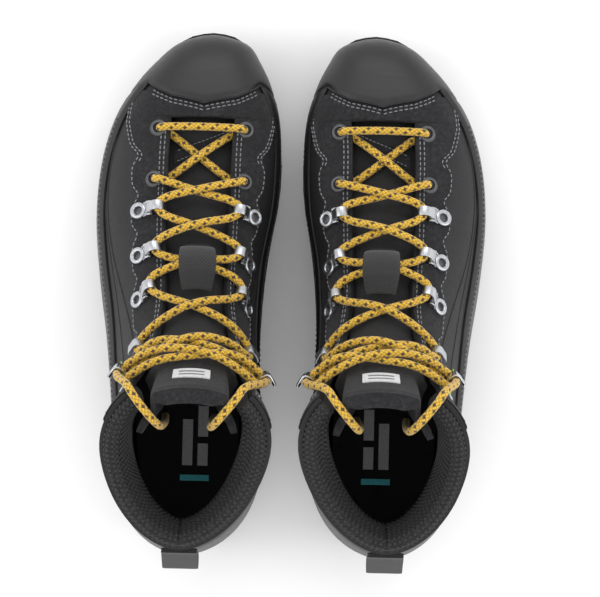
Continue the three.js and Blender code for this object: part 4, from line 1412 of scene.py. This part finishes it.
def make_rand(side):
    far = 9.0

    def hide(i, j):
        return (i > cap_row) & ((j < 4) | (j > 12))

    def warp(i, j):
        k = np.minimum(j, 16 - j)
        notch = cap_notch(k)
        hat = np.clip(1 - np.abs(i - cap_row) / 3, 0, 1)
        return i + np.where(k < 4, notch, notch * np.clip(5 - k, 0, 1)) * hat

    def outer(i, j):
        k = np.minimum(j, 16 - j)
        edge = np.where(i < cap_row, cap_row - i, far)
        side_edge = np.where(i > cap_row - 0.01, k - 4, far)
        return thinned(0.9, rand_thickness, np.minimum(edge * 1.6, np.where(k < 4, far, side_edge * 3)))

    rows = np.concatenate([steps(0, cap_row, 73)[:-1], steps(cap_row, rand_row, 67)])
    made = net_shell(
        side + "_rand_band", side, rows, column_steps(6), outer, clearance, finish("rand_rubber"), hide, warp
    )
    settle(made, side, "rand_rubber", "rand")


def make_heel_counter(side):
    def outer(i, j):
        k = np.minimum(j, 16 - j)
        return thinned(0.8, counter_thickness, np.minimum((k - 4) * 3, np.minimum(counter_row - i, 9) * 1.4))

    rows = steps(rand_row + 0.06, counter_row, 40)
    made = net_shell(
        side + "_heel_cup", side, rows, column_steps(6, 4, 12), outer, clearance, finish("rand_rubber")
    )
    settle(made, side, "rand_rubber", "heel_counter")


def collar_surface(v, j):
    """A point of the collar's pad: v is 0 to 1 up its outer face, to 2 over the roll and to 3 down inside."""
    v, j = np.broadcast_arrays(np.asarray(v, float), np.asarray(j, float))
    k = np.minimum(j, 16 - j)
    back = smooth((k - 1) / 7)
    row = np.where(v < 1, v, np.where(v < 2, 1.0, 3 - v))
    over = np.clip(v - 1, 0, 1)
    bulge = np.sin(np.pi * mix(0.1, 0.86, row)) ** 0.6 * mix(0.75, 1, smooth((k - 1) / 2))
    seam = 1 - 0.2 * np.exp(-(((8 - k) / 0.16) ** 2))
    depth = collar_pad * bulge * seam * smooth(over * 0.5 + 0.25 * over + 0.25 * over**2)
    roll = 0.5 * np.sqrt(np.clip(1 - (2 * over - 1) ** 2, 0, 1)) * np.where((v > 1) & (v < 2), 1, 0)
    start = net_rows - mix(2.6, 4.6, back)
    return net(mix(start, net_rows, row) + roll * seam, j, -upper_thickness - pad_clearance - depth)


def collar_frame(v, j):
    """A point of the pad, the direction along the top line and the direction out of the pad."""
    here = collar_surface(v, j)
    ahead = collar_surface(v, j + 0.04) - here
    down = collar_surface(np.asarray(v) + 0.03, j) - here
    out = np.cross(ahead, down)
    out /= np.maximum(np.linalg.norm(out, axis=-1, keepdims=True), 1e-9)
    core = sum(collar_surface(np.full(np.shape(j), level), j) * 0.5 for level in (0.6, 2.4))
    out *= np.sign(np.sum(out * (here - core), axis=-1, keepdims=True) + 1e-9)
    return here, ahead, out


def make_collar(side):
    loop = np.concatenate([steps(0, 1, 10)[:-1], steps(1, 2, 19)[:-1], steps(2, 3, 30)])
    j, v = np.meshgrid(column_steps(9, 1, 15), loop, indexing="ij")
    points = collar_surface(v, j)
    rows, count = v.shape
    faces = grid_faces(rows, count, close_columns=True)
    faces += [tuple(range(count)), tuple((rows - 1) * count + k for k in reversed(range(count)))]
    uv = np.stack([j * 14, v * 20], axis=-1).reshape(-1, 2)
    body = add_mesh(side + "_collar_pad", placed(points, side), faces, finish("collar_mesh"), uv=uv, sharp=75)
    settle(body, side, "collar_mesh", "collar")
    pitch = millimetres("dot_pitch")
    sample = steps(1.04, 2.97, 200)
    run = run_along(collar_surface(sample, np.full(200, 5.0)))
    dense = steps(1.06, 14.9, 600)
    rings = []
    for n, along in enumerate(np.arange(pitch * 0.4, run[-1], pitch * 0.87)):
        level = float(np.interp(along, run, sample))
        far = run_along(collar_surface(np.full(600, level), dense))
        at = np.arange(pitch * (0.25 + 0.5 * (n % 2)), far[-1], pitch)
        columns = np.interp(at, far, dense)
        columns = columns[np.abs(columns - 8) > 0.1]
        rings.append(collar_frame(np.full(len(columns), level), columns))
    dot = dot_shape(millimetres("dot") * MM, 0.8 * MM)
    made = scattered(side + "_collar_dots", side, rings, dot, finish("collar_dots"))
    settle(made, side, "collar_mesh")


def tongue_half_width(t):
    return mix(mix(20, tongue_half, smooth((t - 4.8) / 3)), 58, smooth((t - 13.2) / 1.6))


def tongue_place(u, across, inner):
    """Station, distance and height of a point of the tongue's inner or outer face."""
    drop = 1.1 * smooth((np.abs(across) - 0.3) / 0.4)
    t = mix(4.75, 16.4 - drop, u)
    s = tongue_half_width(t) * across
    thick = tongue_thickness + 5 * smooth((t - 13) / 2.5) * (1 - smooth((np.abs(s) - 14) / 16))
    ends = np.clip(u * 30, 0, 1) * np.clip((1 - u) * 30, 0, 1)
    crown = 0.9 * (1 - np.clip(np.abs(across) * 1.02, 0, 1) ** 6) * ends
    face = 0.5 - 0.5 * crown - thick if inner else -0.9 + 0.9 * crown
    return t, s, tongue_top(t, s) + face


def make_tongue(side):
    u, across = np.meshgrid(steps(0, 1, 150), steps(-1, 1, 61), indexing="ij")
    t, s, h = tongue_place(u, across, False)
    top = skin.spot(t, s, h)
    bottom = skin.spot(*tongue_place(u, across, True))
    uv = np.stack([s, np.interp(t, skin.times, ridge_run)], axis=-1)
    mid_u = (u[:-1, :-1] + u[1:, 1:]) / 2
    mid_a = np.abs(across[:-1, :-1] + across[1:, 1:]) / 2
    line = mix(0.70, 0.86, smooth((mid_a - 0.2) / 0.25))
    cloths = [finish("tongue_fabric"), finish("suede")]
    cloth = np.where(mid_u > line, 1, 0)
    body = shell_mesh(side + "_tongue_pad", side, top, bottom, cloths, uv, face_material=cloth, sharp=60)
    settle(body, side, "tongue_fabric", "tongue")


def webbing_edge(w):
    """The share of its thickness that a webbing has at w, from -1 to 1 across it."""
    return np.clip((1 - np.abs(w)) * 8, 0, 1) * 0.4 + 0.6


def make_tongue_label(side):
    """A plain woven label on the tongue's top, with two bars and no lettering."""

    def patch(name, t0, t1, half, low, high, cloth):
        t, w = np.meshgrid(steps(t0, t1, 12), steps(-1, 1, 11), indexing="ij")
        s = w * half
        base = tongue_top(t, s)
        top, bottom = skin.spot(t, s, base + high), skin.spot(t, s, base + low)
        uv = np.stack([s, t], axis=-1)
        settle(shell_mesh(f"{side}_{name}", side, top, bottom, finish(cloth), uv), side, "tongue_fabric")

    patch("tongue_label", 14.15, 15.1, 11, -0.3, 0.5, "label")
    patch("label_bar_1", 14.4, 14.5, 7.5, 0.3, 0.65, "label_mark")
    patch("label_bar_2", 14.72, 14.82, 7.5, 0.3, 0.65, "label_mark")


def make_keeper(side):
    """The webbing band that stands over the tongue, with the lace under it."""
    stations = np.array([8.5, 8.62, 8.82, 9.2, 9.58, 9.8, 10.05])
    profile = np.array([0.6, 1, 12, 15.2, 13.4, 10, 5], float)
    at = steps(0, 6, 61)
    t = curve_through(stations[:, None], at)[:, 0]
    h = curve_through(profile[:, None], at)[:, 0]
    t, w = np.meshgrid(t, steps(-1, 1, 13), indexing="ij")
    h = np.broadcast_to(h[:, None], t.shape)
    s = w * keeper_half
    base = tongue_top(t, 0.0) + h
    low = skin.spot(t, s, base)
    high = skin.spot(t, s, base + webbing_thickness * webbing_edge(w))
    uv = np.stack([s, np.broadcast_to(run_along(high[:, 6])[:, None], s.shape)], axis=-1)
    made = shell_mesh(side + "_keeper_band", side, high, low, finish("webbing"), uv)
    settle(made, side, "webbing", "lace_keeper")


# ---- metal ----------------------------------------------------------------------------------------


def at_fixing(t, s):
    """Turns (inwards, along, up) in millimetres at a fixing into points of the boot's own frame."""
    at, inwards, along, normal = skin.frame(t, s)
    at = at.reshape(3)

    def place(a, w, b):
        return at + inwards * a + along * w + normal * b

    return place


def turned_ring(name, side, place, profile, material, middle=(0.0, 0.0), sides=28):
    """A closed ring turned from a profile of (radius, height) round an upright axis at a fixing."""
    middle_a, middle_w = middle
    points, faces = [], []
    count = len(profile)
    for k in range(sides):
        turn = 2 * math.pi * k / sides
        for r, z in profile:
            points.append(place(middle_a + r * math.cos(turn), middle_w + r * math.sin(turn), z))
    for k in range(sides):
        a, b = k * count, ((k + 1) % sides) * count
        for m in range(count):
            n = (m + 1) % count
            faces.append((a + m, a + n, b + n, b + m))
    return add_mesh(name, placed(points, side), faces, material, uv=[(0, 0)] * len(points), sharp=35)


# Profiles of (radius, height) over the skin.
rivet_profile = [
    (2.5, 0.3), (4.9, 0.3), (4.9, 1.7), (4.75, 2.2), (4.3, 2.55), (3.6, 2.65), (2.9, 2.5), (2.55, 2.1),
]
core_profile = [(0.05, 0.32), (2.49, 0.32), (2.49, 0.7), (1.5, 0.95), (0.05, 1.05)]
plate_profile = [(0.05, 0.1), (5.2, 0.1), (5.1, 0.55), (4.7, 0.75), (0.05, 0.8)]
rim_profile = [
    (3.0, 0.7), (3.1, 1.3), (3.6, 1.55), (4.5, 1.45), (5.0, 1.0), (5.0, 0.5), (3.45, 0.4), (3.4, -2.3),
    (3.0, -2.3),
]
ear_thickness = 1.2


def make_guide_base(side, half, way, name, t, s):
    """A riveted ring with a neck, and two ears that hold the loop's pin."""
    place = at_fixing(t, s * way)
    full = f"{side}_{half}_{name}"
    steel = finish("satin_steel")
    middle = (-ring_out, 0)
    ring = turned_ring(full + "_rivet", side, place, rivet_profile, steel, middle)
    core = turned_ring(full + "_rivet_core", side, place, core_profile, finish("rim_metal"), middle, 20)
    span = loop_width + 2 * (pin_clearance + ear_thickness)
    neck_from, neck_to = -ring_out + 2.5 + 0.8, -(pin_radius + pin_clearance + 1.3)
    low, high, top = clearance, clearance + 1.5, pin_up + 1.3
    outline = [(neck_from, low), (neck_to, low), (neck_to, high), (neck_from, high)]
    neck = outline_solid(full + "_neck", side, outline, [], span, place, steel, 0.22)
    outline = [(neck_from, low), (pin_radius + 0.6, low), (pin_radius + 0.6, top - 0.9)]
    outline += [(pin_radius - 0.2, top), (-1.6, top), (neck_from + 0.8, 2.2), (neck_from, 1.8)]
    ears = []
    for k, end in enumerate((-1, 1)):

        def shifted(a, w, b, off=end * (span - ear_thickness) / 2):
            return place(a, w + off, b)

        ears.append(outline_solid(full + f"_ear_{k}", side, outline, [], ear_thickness, shifted, steel, 0.22))
    ends = steps(-(span - 0.2) / 2, (span - 0.2) / 2, 9)
    pin_line = placed([place(0, w, pin_up) for w in ends], side)
    pin = tube_mesh(full + "_pin", pin_line, np.full(9, pin_radius * MM), steel)
    made = joined(full + "_mount", [ring, core, neck, *ears, pin])
    settle(made, side, "steel", f"{half}_{name}_base")


def make_guide_loop(side, half, way, name, t, s):
    """The band round the lace, with an eye for the pin."""
    place = at_fixing(t, s * way)
    outer = loop_radius + metal_thickness
    eye = pin_radius + pin_clearance + 1
    rise = math.atan2(loop_up - pin_up, loop_in)
    lean = math.asin((outer - eye) / math.hypot(loop_in, loop_up - pin_up))
    start, end = math.pi / 2 + rise + lean, -math.pi / 2 + rise - lean
    outline = arc(loop_in, loop_up, outer, end, start, 22)
    outline += arc(0, pin_up, eye, start, end + 2 * math.pi, 10)
    holes = [
        arc(loop_in, loop_up, loop_radius, 0, 2 * math.pi, 26)[:-1],
        arc(0, pin_up, pin_radius + pin_clearance, 0, 2 * math.pi, 16)[:-1],
    ]
    full = f"{side}_{half}_{name}"
    steel = finish("satin_steel")
    band = outline_solid(full + "_band", side, outline, holes, loop_width, place, steel, bevel=0.3)
    settle(band, side, "steel", f"{half}_{name}_loop", body=f"{side}_{half}_{name}_loop_body")


def make_hook(side, half, way, name, t, s, wraps):
    """A strip bent over as many turns of the lace as it holds, on a riveted plate."""
    place = at_fixing(t, s * way)
    neck = lace_diameter / 2 + lace_clearance
    inside = metal_thickness + clearance + 0.3 + wraps * (lace_diameter + clearance) + 0.4
    lip = -(lace_diameter / 2 + 1.6)
    bend, base, m = 2.2, clearance, metal_thickness
    outline = [(-9.5, base), (neck + m - 0.5, base), (neck + m, base + 0.5)]
    outline += arc(neck - bend, inside - bend, bend + m, 0, math.pi / 2, 9)
    outline += [(lip, inside + m), (lip - 0.8, inside + 0.8), (lip - 1.3, inside + 0.1)]
    outline += [(lip - 1.2, inside - 1), (lip - 0.5, inside - 0.3), (lip - 0.1, inside)]
    outline += arc(neck - bend, inside - bend, bend, math.pi / 2, 0, 9)
    outline += [(neck, base + m), (-9.5, base + m)]
    steel = finish("bright_steel" if wraps == 2 else "satin_steel")
    full = f"{side}_{half}_{name}"
    strip = outline_solid(full + "_strip", side, outline, [], hook_width, place, steel, bevel=0.28)
    head_profile = [(0.05, -0.3), (2.3, -0.3), (2.2, 0.35), (1.4, 0.8), (0.05, 0.9)]
    head_profile = [(r, base + m + z) for r, z in head_profile]
    head = turned_ring(full + "_rivet", side, place, head_profile, steel, (-6.6, 0), 20)
    plate = turned_ring(full + "_plate", side, place, plate_profile, finish("rim_metal"), (-6.2, 0), 24)
    made = joined(full + "_bent", [strip, head, plate])
    settle(made, side, "steel", f"{half}_{name}")


def make_eyelet_rims(side):
    for half, way in PLACES:
        for name, (t, s) in eyelets.items():
            place = at_fixing(t, s * way)
            ring = turned_ring(f"{side}_{half}_{name}_rim", side, place, rim_profile, finish("rim_metal"))
            settle(ring, side, "steel")


# ---- underfoot and behind -------------------------------------------------------------------------


def feather_z(y):
    """The height of the upper's bottom edge, along the boot."""
    v = curve_through(SECTIONS, steps(0.6, 11.0, 100))
    return np.interp(y, v[::-1, 2], v[::-1, 3])


def outline_at(t, margin):
    """The sole's outline pulled in by a margin: y, and the middle and half width there."""
    y, out, inn = curve_through(SOLE, t).T
    half = np.maximum((out - inn) / 2 - margin, 0)
    shrink = 1 - 2 * margin / SOLE[-1, 0]
    return margin + y * shrink, (out + inn) / 2, half


def heel_rise(y, u):
    """The footbed's heel cup at y, and how far up it a point at u is, -1 to 1 across; both are shares."""
    rim = np.maximum(np.abs(u) ** 2.6, np.clip((26 - y) / 16, 0, 1) ** 2)
    return 1 - smooth((y - 60) / 80), rim


def make_footbed(side):
    """The footbed, and its printed blocks and bar, which ride on it."""
    y, middle, half = outline_at(steps(0, 18, 150), inset_board + 0.5)
    keep = half > 2.2
    y, middle, half = y[keep], middle[keep], half[keep]
    half = half * (1 - 2.0 / np.maximum(half, 3))
    under = upper_thickness + 2 * clearance + board_thickness
    yy, across = np.meshgrid(y, steps(-1, 1, 41), indexing="ij")
    heel, rim = heel_rise(yy, across)
    low = feather_z(yy) + under
    z_top = low + footbed_thickness + footbed_cup * heel * rim
    z_low = low + np.maximum(footbed_cup * heel * (rim - 0.35), 0)
    x = middle[:, None] + half[:, None] * across
    top, bottom = np.stack([x, yy, z_top], axis=-1), np.stack([x, yy, z_low], axis=-1)
    uv = np.stack([x, yy], axis=-1)
    made = shell_mesh(side + "_footbed_cloth", side, top, bottom, finish("footbed_cloth"), uv, sharp=50)
    body = side + "_footbed_body"
    settle(made, side, "footbed", "footbed", body=body)

    def mark(label, x0, x1, y0, y1, cloth):
        gx, gy = np.meshgrid(steps(x0, x1, 7), steps(y0, y1, 7), indexing="ij")
        heel, rim = heel_rise(gy, (gx - np.interp(gy, y, middle)) / np.interp(gy, y, half))
        z = feather_z(gy) + under + footbed_thickness + footbed_cup * heel * rim
        high, low = (np.stack([gx, gy, z + lift], axis=-1) for lift in (0.3, -0.3))
        piece = shell_mesh(f"{side}_{label}", side, high, low, finish(cloth), np.stack([gx, gy], axis=-1))
        settle(piece, side, "footbed", body=body)

    mark("footbed_block_1", -14, -8, 47, 60, "footbed_mark")
    mark("footbed_block_2", -14, -8, 64, 82, "footbed_mark")
    mark("footbed_block_3", -5, 1, 47, 74, "footbed_mark")
    mark("footbed_bar", -15, 2, 38, 41.5, "footbed_bar")


def make_pull_tab(side):
    """A webbing loop that hangs from the collar's back."""
    root = skin.at(15.1, 0.9999, 0.0).reshape(3) + (0, -webbing_thickness - clearance, 0)
    radius, length = 4.6, 19.0
    lean = math.asin((radius - webbing_thickness) / length)
    middle = arc(0, -length, radius - webbing_thickness / 2, lean, -math.pi - lean, 30)
    line = np.array([(0.75, 1.0), (0.75, -2), *middle, (-0.75, -2), (-0.75, 1.0)])
    run = run_along(line)
    at = steps(0, run[-1], 90)
    line = point_on(line, run, at)
    way = np.gradient(line, axis=0)
    way /= np.linalg.norm(way, axis=1, keepdims=True)
    off = np.stack([way[:, 1], -way[:, 0]], axis=1) * webbing_thickness / 2
    turn = math.radians(22)

    def turned(flat, x):
        out = flat[..., 0] * math.cos(turn) - flat[..., 1] * math.sin(turn)
        up = flat[..., 0] * math.sin(turn) + flat[..., 1] * math.cos(turn)
        return np.stack([root[0] + x, root[1] - out, root[2] + up], axis=-1)

    w = steps(-tab_width / 2, tab_width / 2, 15)
    across = np.broadcast_to(w, (90, 15))
    off = off[:, None] * webbing_edge(w / (tab_width / 2))[None, :, None]
    outer, inner = turned(line[:, None] + off, across), turned(line[:, None] - off, across)
    uv = np.stack(np.meshgrid(at, w, indexing="ij")[::-1], axis=-1)
    made = shell_mesh(side + "_pull_loop", side, outer, inner, finish("webbing"), uv, sharp=50)
    settle(made, side, "webbing", "pull_tab", body=side + "_pull_tab_body")


# ---- stitches and thin lines ----------------------------------------------------------------------


def line_over(t, s, height):
    """A line over the skin, and the direction out of the skin at each of its points."""
    low, high = skin.spot(t, s, height), skin.spot(t, s, np.asarray(height) + 1.0)
    return low, high - low


def clear_of_guides(at):
    """True for the points that no lace guide's loop swings over."""
    beside_loop, behind_pin, past_loop = loop_width / 2 + 1.6, -5.0, 9.0
    free = np.ones(len(at), bool)
    for t, s in guides.values():
        for way in (1, -1):
            middle, inwards, along, _ = (part.reshape(3) for part in skin.frame(t, s * way))
            across, beside = (at - middle) @ inwards, (at - middle) @ along
            free &= (np.abs(beside) > beside_loop) | (across < behind_pin) | (across > past_loop)
    return free


def stitch_lines(side, name, lines, thread, scale=1.0, under_guides=True):
    """Stitches along lines of points with their directions out of the cloth."""
    length, pitch = millimetres("stitch") * scale, millimetres("stitch_pitch") * scale
    rows = []
    for line, up in lines:
        at, way = stitch_row(line, pitch)
        if not under_guides:
            free = clear_of_guides(at)
            at, way = at[free], way[free]
        if not len(at):
            continue
        near = np.argmin(np.linalg.norm(at[:, None] - line[None], axis=-1), axis=1)
        rows.append((at, way, up[near]))
    shape = stitch_shape(length * MM, 0.42 * scale * MM)
    settle(scattered(f"{side}_{name}", side, rows, shape, finish(thread)), side, "suede")


def net_line(i, j, height):
    """A line over the net, and the direction out of the skin at each of its points."""
    i, j = np.broadcast_arrays(i, j)
    line = net(i, j, np.full(i.shape, height))
    return line, net(i, j, np.full(i.shape, height + 1.0)) - line


def make_stitches(side):
    lines = []
    for way in (1, -1):
        t = steps(5.3, 15.3, 400)
        for inset in (2.2, 4.6):
            lines.append(line_over(t, way * (throat_edge(t) + inset), 0.98))
        t = steps(4.35, 15.2, 500)
        lines.append(line_over(t, way * (facing_edge(t) - 2.0), 0.98))
        t = steps(4.35, 6.3, 120)
        lines.append(line_over(t, way * (facing_edge(t) - 4.4), 0.98))
    stitch_lines(side, "facing_stitches", lines, "thread", under_guides=False)
    lines = []
    for back in (0.35, 0.95):
        for j in (steps(13.0, 16, 140), steps(0, 3.0, 140)):
            lines.append(net_line(cap_row + cap_notch(np.minimum(j, 16 - j)) + back * 0.33 + 0.02, j, 1.0))
    stitch_lines(side, "cap_stitches", lines, "thread")
    over_rand = clearance + rand_thickness - 0.05
    lines = [net_line(steps(9, 18.6, 300), k, over_rand) for k in (4.35, 11.65)]
    stitch_lines(side, "rand_stitches", lines, "dark_thread")


def make_accents(side):
    """Thin raised lines on the ankle's outer side, and seams along the overlays."""

    def ribbon(name, t, s, width, height, cloth):
        tt, w = np.meshgrid(t, steps(-1, 1, 5), indexing="ij")
        ss = s[:, None] + w * width / 2
        top = skin.spot(tt, ss, height * (0.4 + 0.6 * (1 - w**2)))
        bottom = skin.spot(tt, ss, np.full(tt.shape, -0.2))
        made = shell_mesh(f"{side}_{name}", side, top, bottom, finish(cloth), np.stack([ss, tt], axis=-1))
        settle(made, side, "suede")

    def wave(t):
        return 5 * np.sin((t - 10.2) / 4.8 * 3.0)

    t = steps(10.2, 15.0, 90)
    ribbon("accent_line_1", t, 74 + wave(t), 1.6, 0.6, "accent")
    t = steps(11.2, 14.6, 70)
    ribbon("accent_line_2", t, 79 + wave(t), 0.9, 0.5, "accent")
    for half, way in PLACES:
        t = steps(5.5, 14.8, 160)
        ribbon(f"{half}_overlay_1", t, way * (58 + 7 * np.sin((t - 5.5) * 0.9)), 1.3, 0.45, "side_fabric")
        t = steps(6.5, 12.5, 120)
        ribbon(f"{half}_overlay_2", t, way * (70 - 3 * np.sin((t - 6.5) * 0.8)), 1.1, 0.4, "side_fabric")


def dress_cad(side):
    """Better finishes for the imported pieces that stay."""
    for node, name in (("outsole", "sole_rubber"), ("midsole", "midsole_foam"), ("insole_board", "board")):
        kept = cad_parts[f"{side}_{node}"]
        kept.data.materials.clear()
        kept.data.materials.append(finish(name))


# ---- stage ----------------------------------------------------------------------------------------


def make_stage():
    scene = bpy.context.scene
    scene.view_settings.view_transform = "Standard"
    reach = 6
    corners = [(-reach, -reach, 0), (reach, -reach, 0), (reach, reach, 0), (-reach, reach, 0)]
    floor = add_mesh("Floor", corners, [(0, 1, 2, 3)], finish("floor"))
    if floor.data.polygons[0].normal.z < 0:
        floor.data.flip_normals()
    floor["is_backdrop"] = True
    world = bpy.data.worlds.new("Studio")
    world.use_nodes = True
    sky = world.node_tree.nodes["Background"]
    sky.inputs["Color"].default_value = (1, 1, 1, 1)
    sky.inputs["Strength"].default_value = 1.05
    scene.world = world

    aim = Vector((0, 0, 0.08))

    def area(name, place, size, power):
        light = bpy.data.lights.new(name, "AREA")
        light.shape = "RECTANGLE"
        light.size, light.size_y = size
        light.energy = power
        lamp = bpy.data.objects.new(name, light)
        lamp.location = place
        lamp.rotation_euler = (aim - Vector(place)).to_track_quat("-Z", "Y").to_euler()
        scene.collection.objects.link(lamp)

    area("Toe light", (0.1, 1.3, 1.2), (1.6, 0.6), 7)
    area("Left light", (-1.4, 0.1, 1.1), (0.6, 1.6), 5)
    area("Right light", (1.4, -0.2, 1.0), (0.6, 1.6), 5)
    area("Heel light", (0, -1.4, 1.2), (1.4, 0.5), 4)


def make_camera():
    """A camera straight above, whose view is so wide on the floor."""
    height, view_width = 1.5, 0.3636
    camera = bpy.data.cameras.new("Camera")
    camera.sensor_width = 36
    camera.lens = camera.sensor_width * height / view_width
    made = bpy.data.objects.new("Camera", camera)
    made.location = (0.0064, -0.0016, height)
    made.rotation_euler = (0, 0, math.radians(1.35))
    bpy.context.scene.collection.objects.link(made)
    bpy.context.scene.camera = made


# ---- operators ------------------------------------------------------------------------------------


def both(*makers):
    for side in SIDES:
        for maker in makers:
            maker(side)
    return {"FINISHED"}


class BOOTS_OT_stage(bpy.types.Operator):
    """Makes the pale floor, the soft lights and the camera over the boots"""

    bl_idname = "boots.stage"
    bl_label = "Stage"

    def execute(self, context):
        make_camera()
        make_stage()
        return {"FINISHED"}


class BOOTS_OT_laces(bpy.types.Operator):
    """Makes the braided laces and their tips"""

    bl_idname = "boots.laces"
    bl_label = "Laces"

    def execute(self, context):
        make_laces()
        return {"FINISHED"}


class BOOTS_OT_upper(bpy.types.Operator):
    """Makes the upper's shell and the suede facings"""

    bl_idname = "boots.upper"
    bl_label = "Upper"

    def execute(self, context):
        return both(make_upper, make_facings, make_throat_strip)


class BOOTS_OT_rubber(bpy.types.Operator):
    """Makes the rand with its toe cap, and the heel counter, and dresses the sole"""

    bl_idname = "boots.rubber"
    bl_label = "Rubber"

    def execute(self, context):
        return both(make_rand, make_heel_counter, dress_cad)


class BOOTS_OT_collar(bpy.types.Operator):
    """Makes the padded collar with its raised dots"""

    bl_idname = "boots.collar"
    bl_label = "Collar"

    def execute(self, context):
        return both(make_collar)


class BOOTS_OT_tongue(bpy.types.Operator):
    """Makes the padded tongue, its label and the lace keeper"""

    bl_idname = "boots.tongue"
    bl_label = "Tongue"

    def execute(self, context):
        return both(make_tongue, make_tongue_label, make_keeper)


class BOOTS_OT_metal(bpy.types.Operator):
    """Makes the hinged lace guides, the hooks and the eyelets' rims"""

    bl_idname = "boots.metal"
    bl_label = "Metal"

    def execute(self, context):
        for side in SIDES:
            for half, way in PLACES:
                for name, (t, s) in guides.items():
                    make_guide_base(side, half, way, name, t, s)
                    make_guide_loop(side, half, way, name, t, s)
                for name, (t, s, wraps) in hooks.items():
                    make_hook(side, half, way, name, t, s, wraps)
            make_eyelet_rims(side)
        return {"FINISHED"}


class BOOTS_OT_inside(bpy.types.Operator):
    """Makes the footbeds with their printed marks, and the pull tabs"""

    bl_idname = "boots.inside"
    bl_label = "Footbeds and pull tabs"

    def execute(self, context):
        return both(make_footbed, make_pull_tab)


class BOOTS_OT_trim(bpy.types.Operator):
    """Makes the stitches, the thin accent lines and the overlays' edges"""

    bl_idname = "boots.trim"
    bl_label = "Stitches and trim"

    def execute(self, context):
        return both(make_stitches, make_accents)


OPERATORS = (
    BOOTS_OT_stage,
    BOOTS_OT_laces,
    BOOTS_OT_upper,
    BOOTS_OT_rubber,
    BOOTS_OT_collar,
    BOOTS_OT_tongue,
    BOOTS_OT_metal,
    BOOTS_OT_inside,
    BOOTS_OT_trim,
)


class BOOTS_PT_panel(bpy.types.Panel):
    """The boots' pieces and their sizes and colours"""

    bl_idname = "BOOTS_PT_panel"
    bl_label = "Mountaineering Boots"
    bl_space_type = "VIEW_3D"
    bl_region_type = "UI"
    bl_category = "Boots"

    def draw(self, context):
        for operator in OPERATORS:
            self.layout.operator(operator.bl_idname)
        for settings in (context.scene.boot_sizes, context.scene.boot_colours):
            for key in settings.__annotations__:
                self.layout.prop(settings, key)


CLASSES = (BootColours, BootSizes, *OPERATORS, BOOTS_PT_panel)


def register():
    for entry in CLASSES:
        bpy.utils.register_class(entry)
    bpy.types.Scene.boot_colours = bpy.props.PointerProperty(type=BootColours)
    bpy.types.Scene.boot_sizes = bpy.props.PointerProperty(type=BootSizes)


def unregister():
    del bpy.types.Scene.boot_sizes
    del bpy.types.Scene.boot_colours
    for entry in reversed(CLASSES):
        bpy.utils.unregister_class(entry)


def main():
    register()
    for operator in OPERATORS:
        getattr(bpy.ops.boots, operator.bl_idname.split(".")[1])()
    boxes = {"cad": cad_box, "visual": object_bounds()}
    plain = {key: [[float(v) for v in corner] for corner in box] for key, box in boxes.items()}


if __name__ == "__main__":
    main()
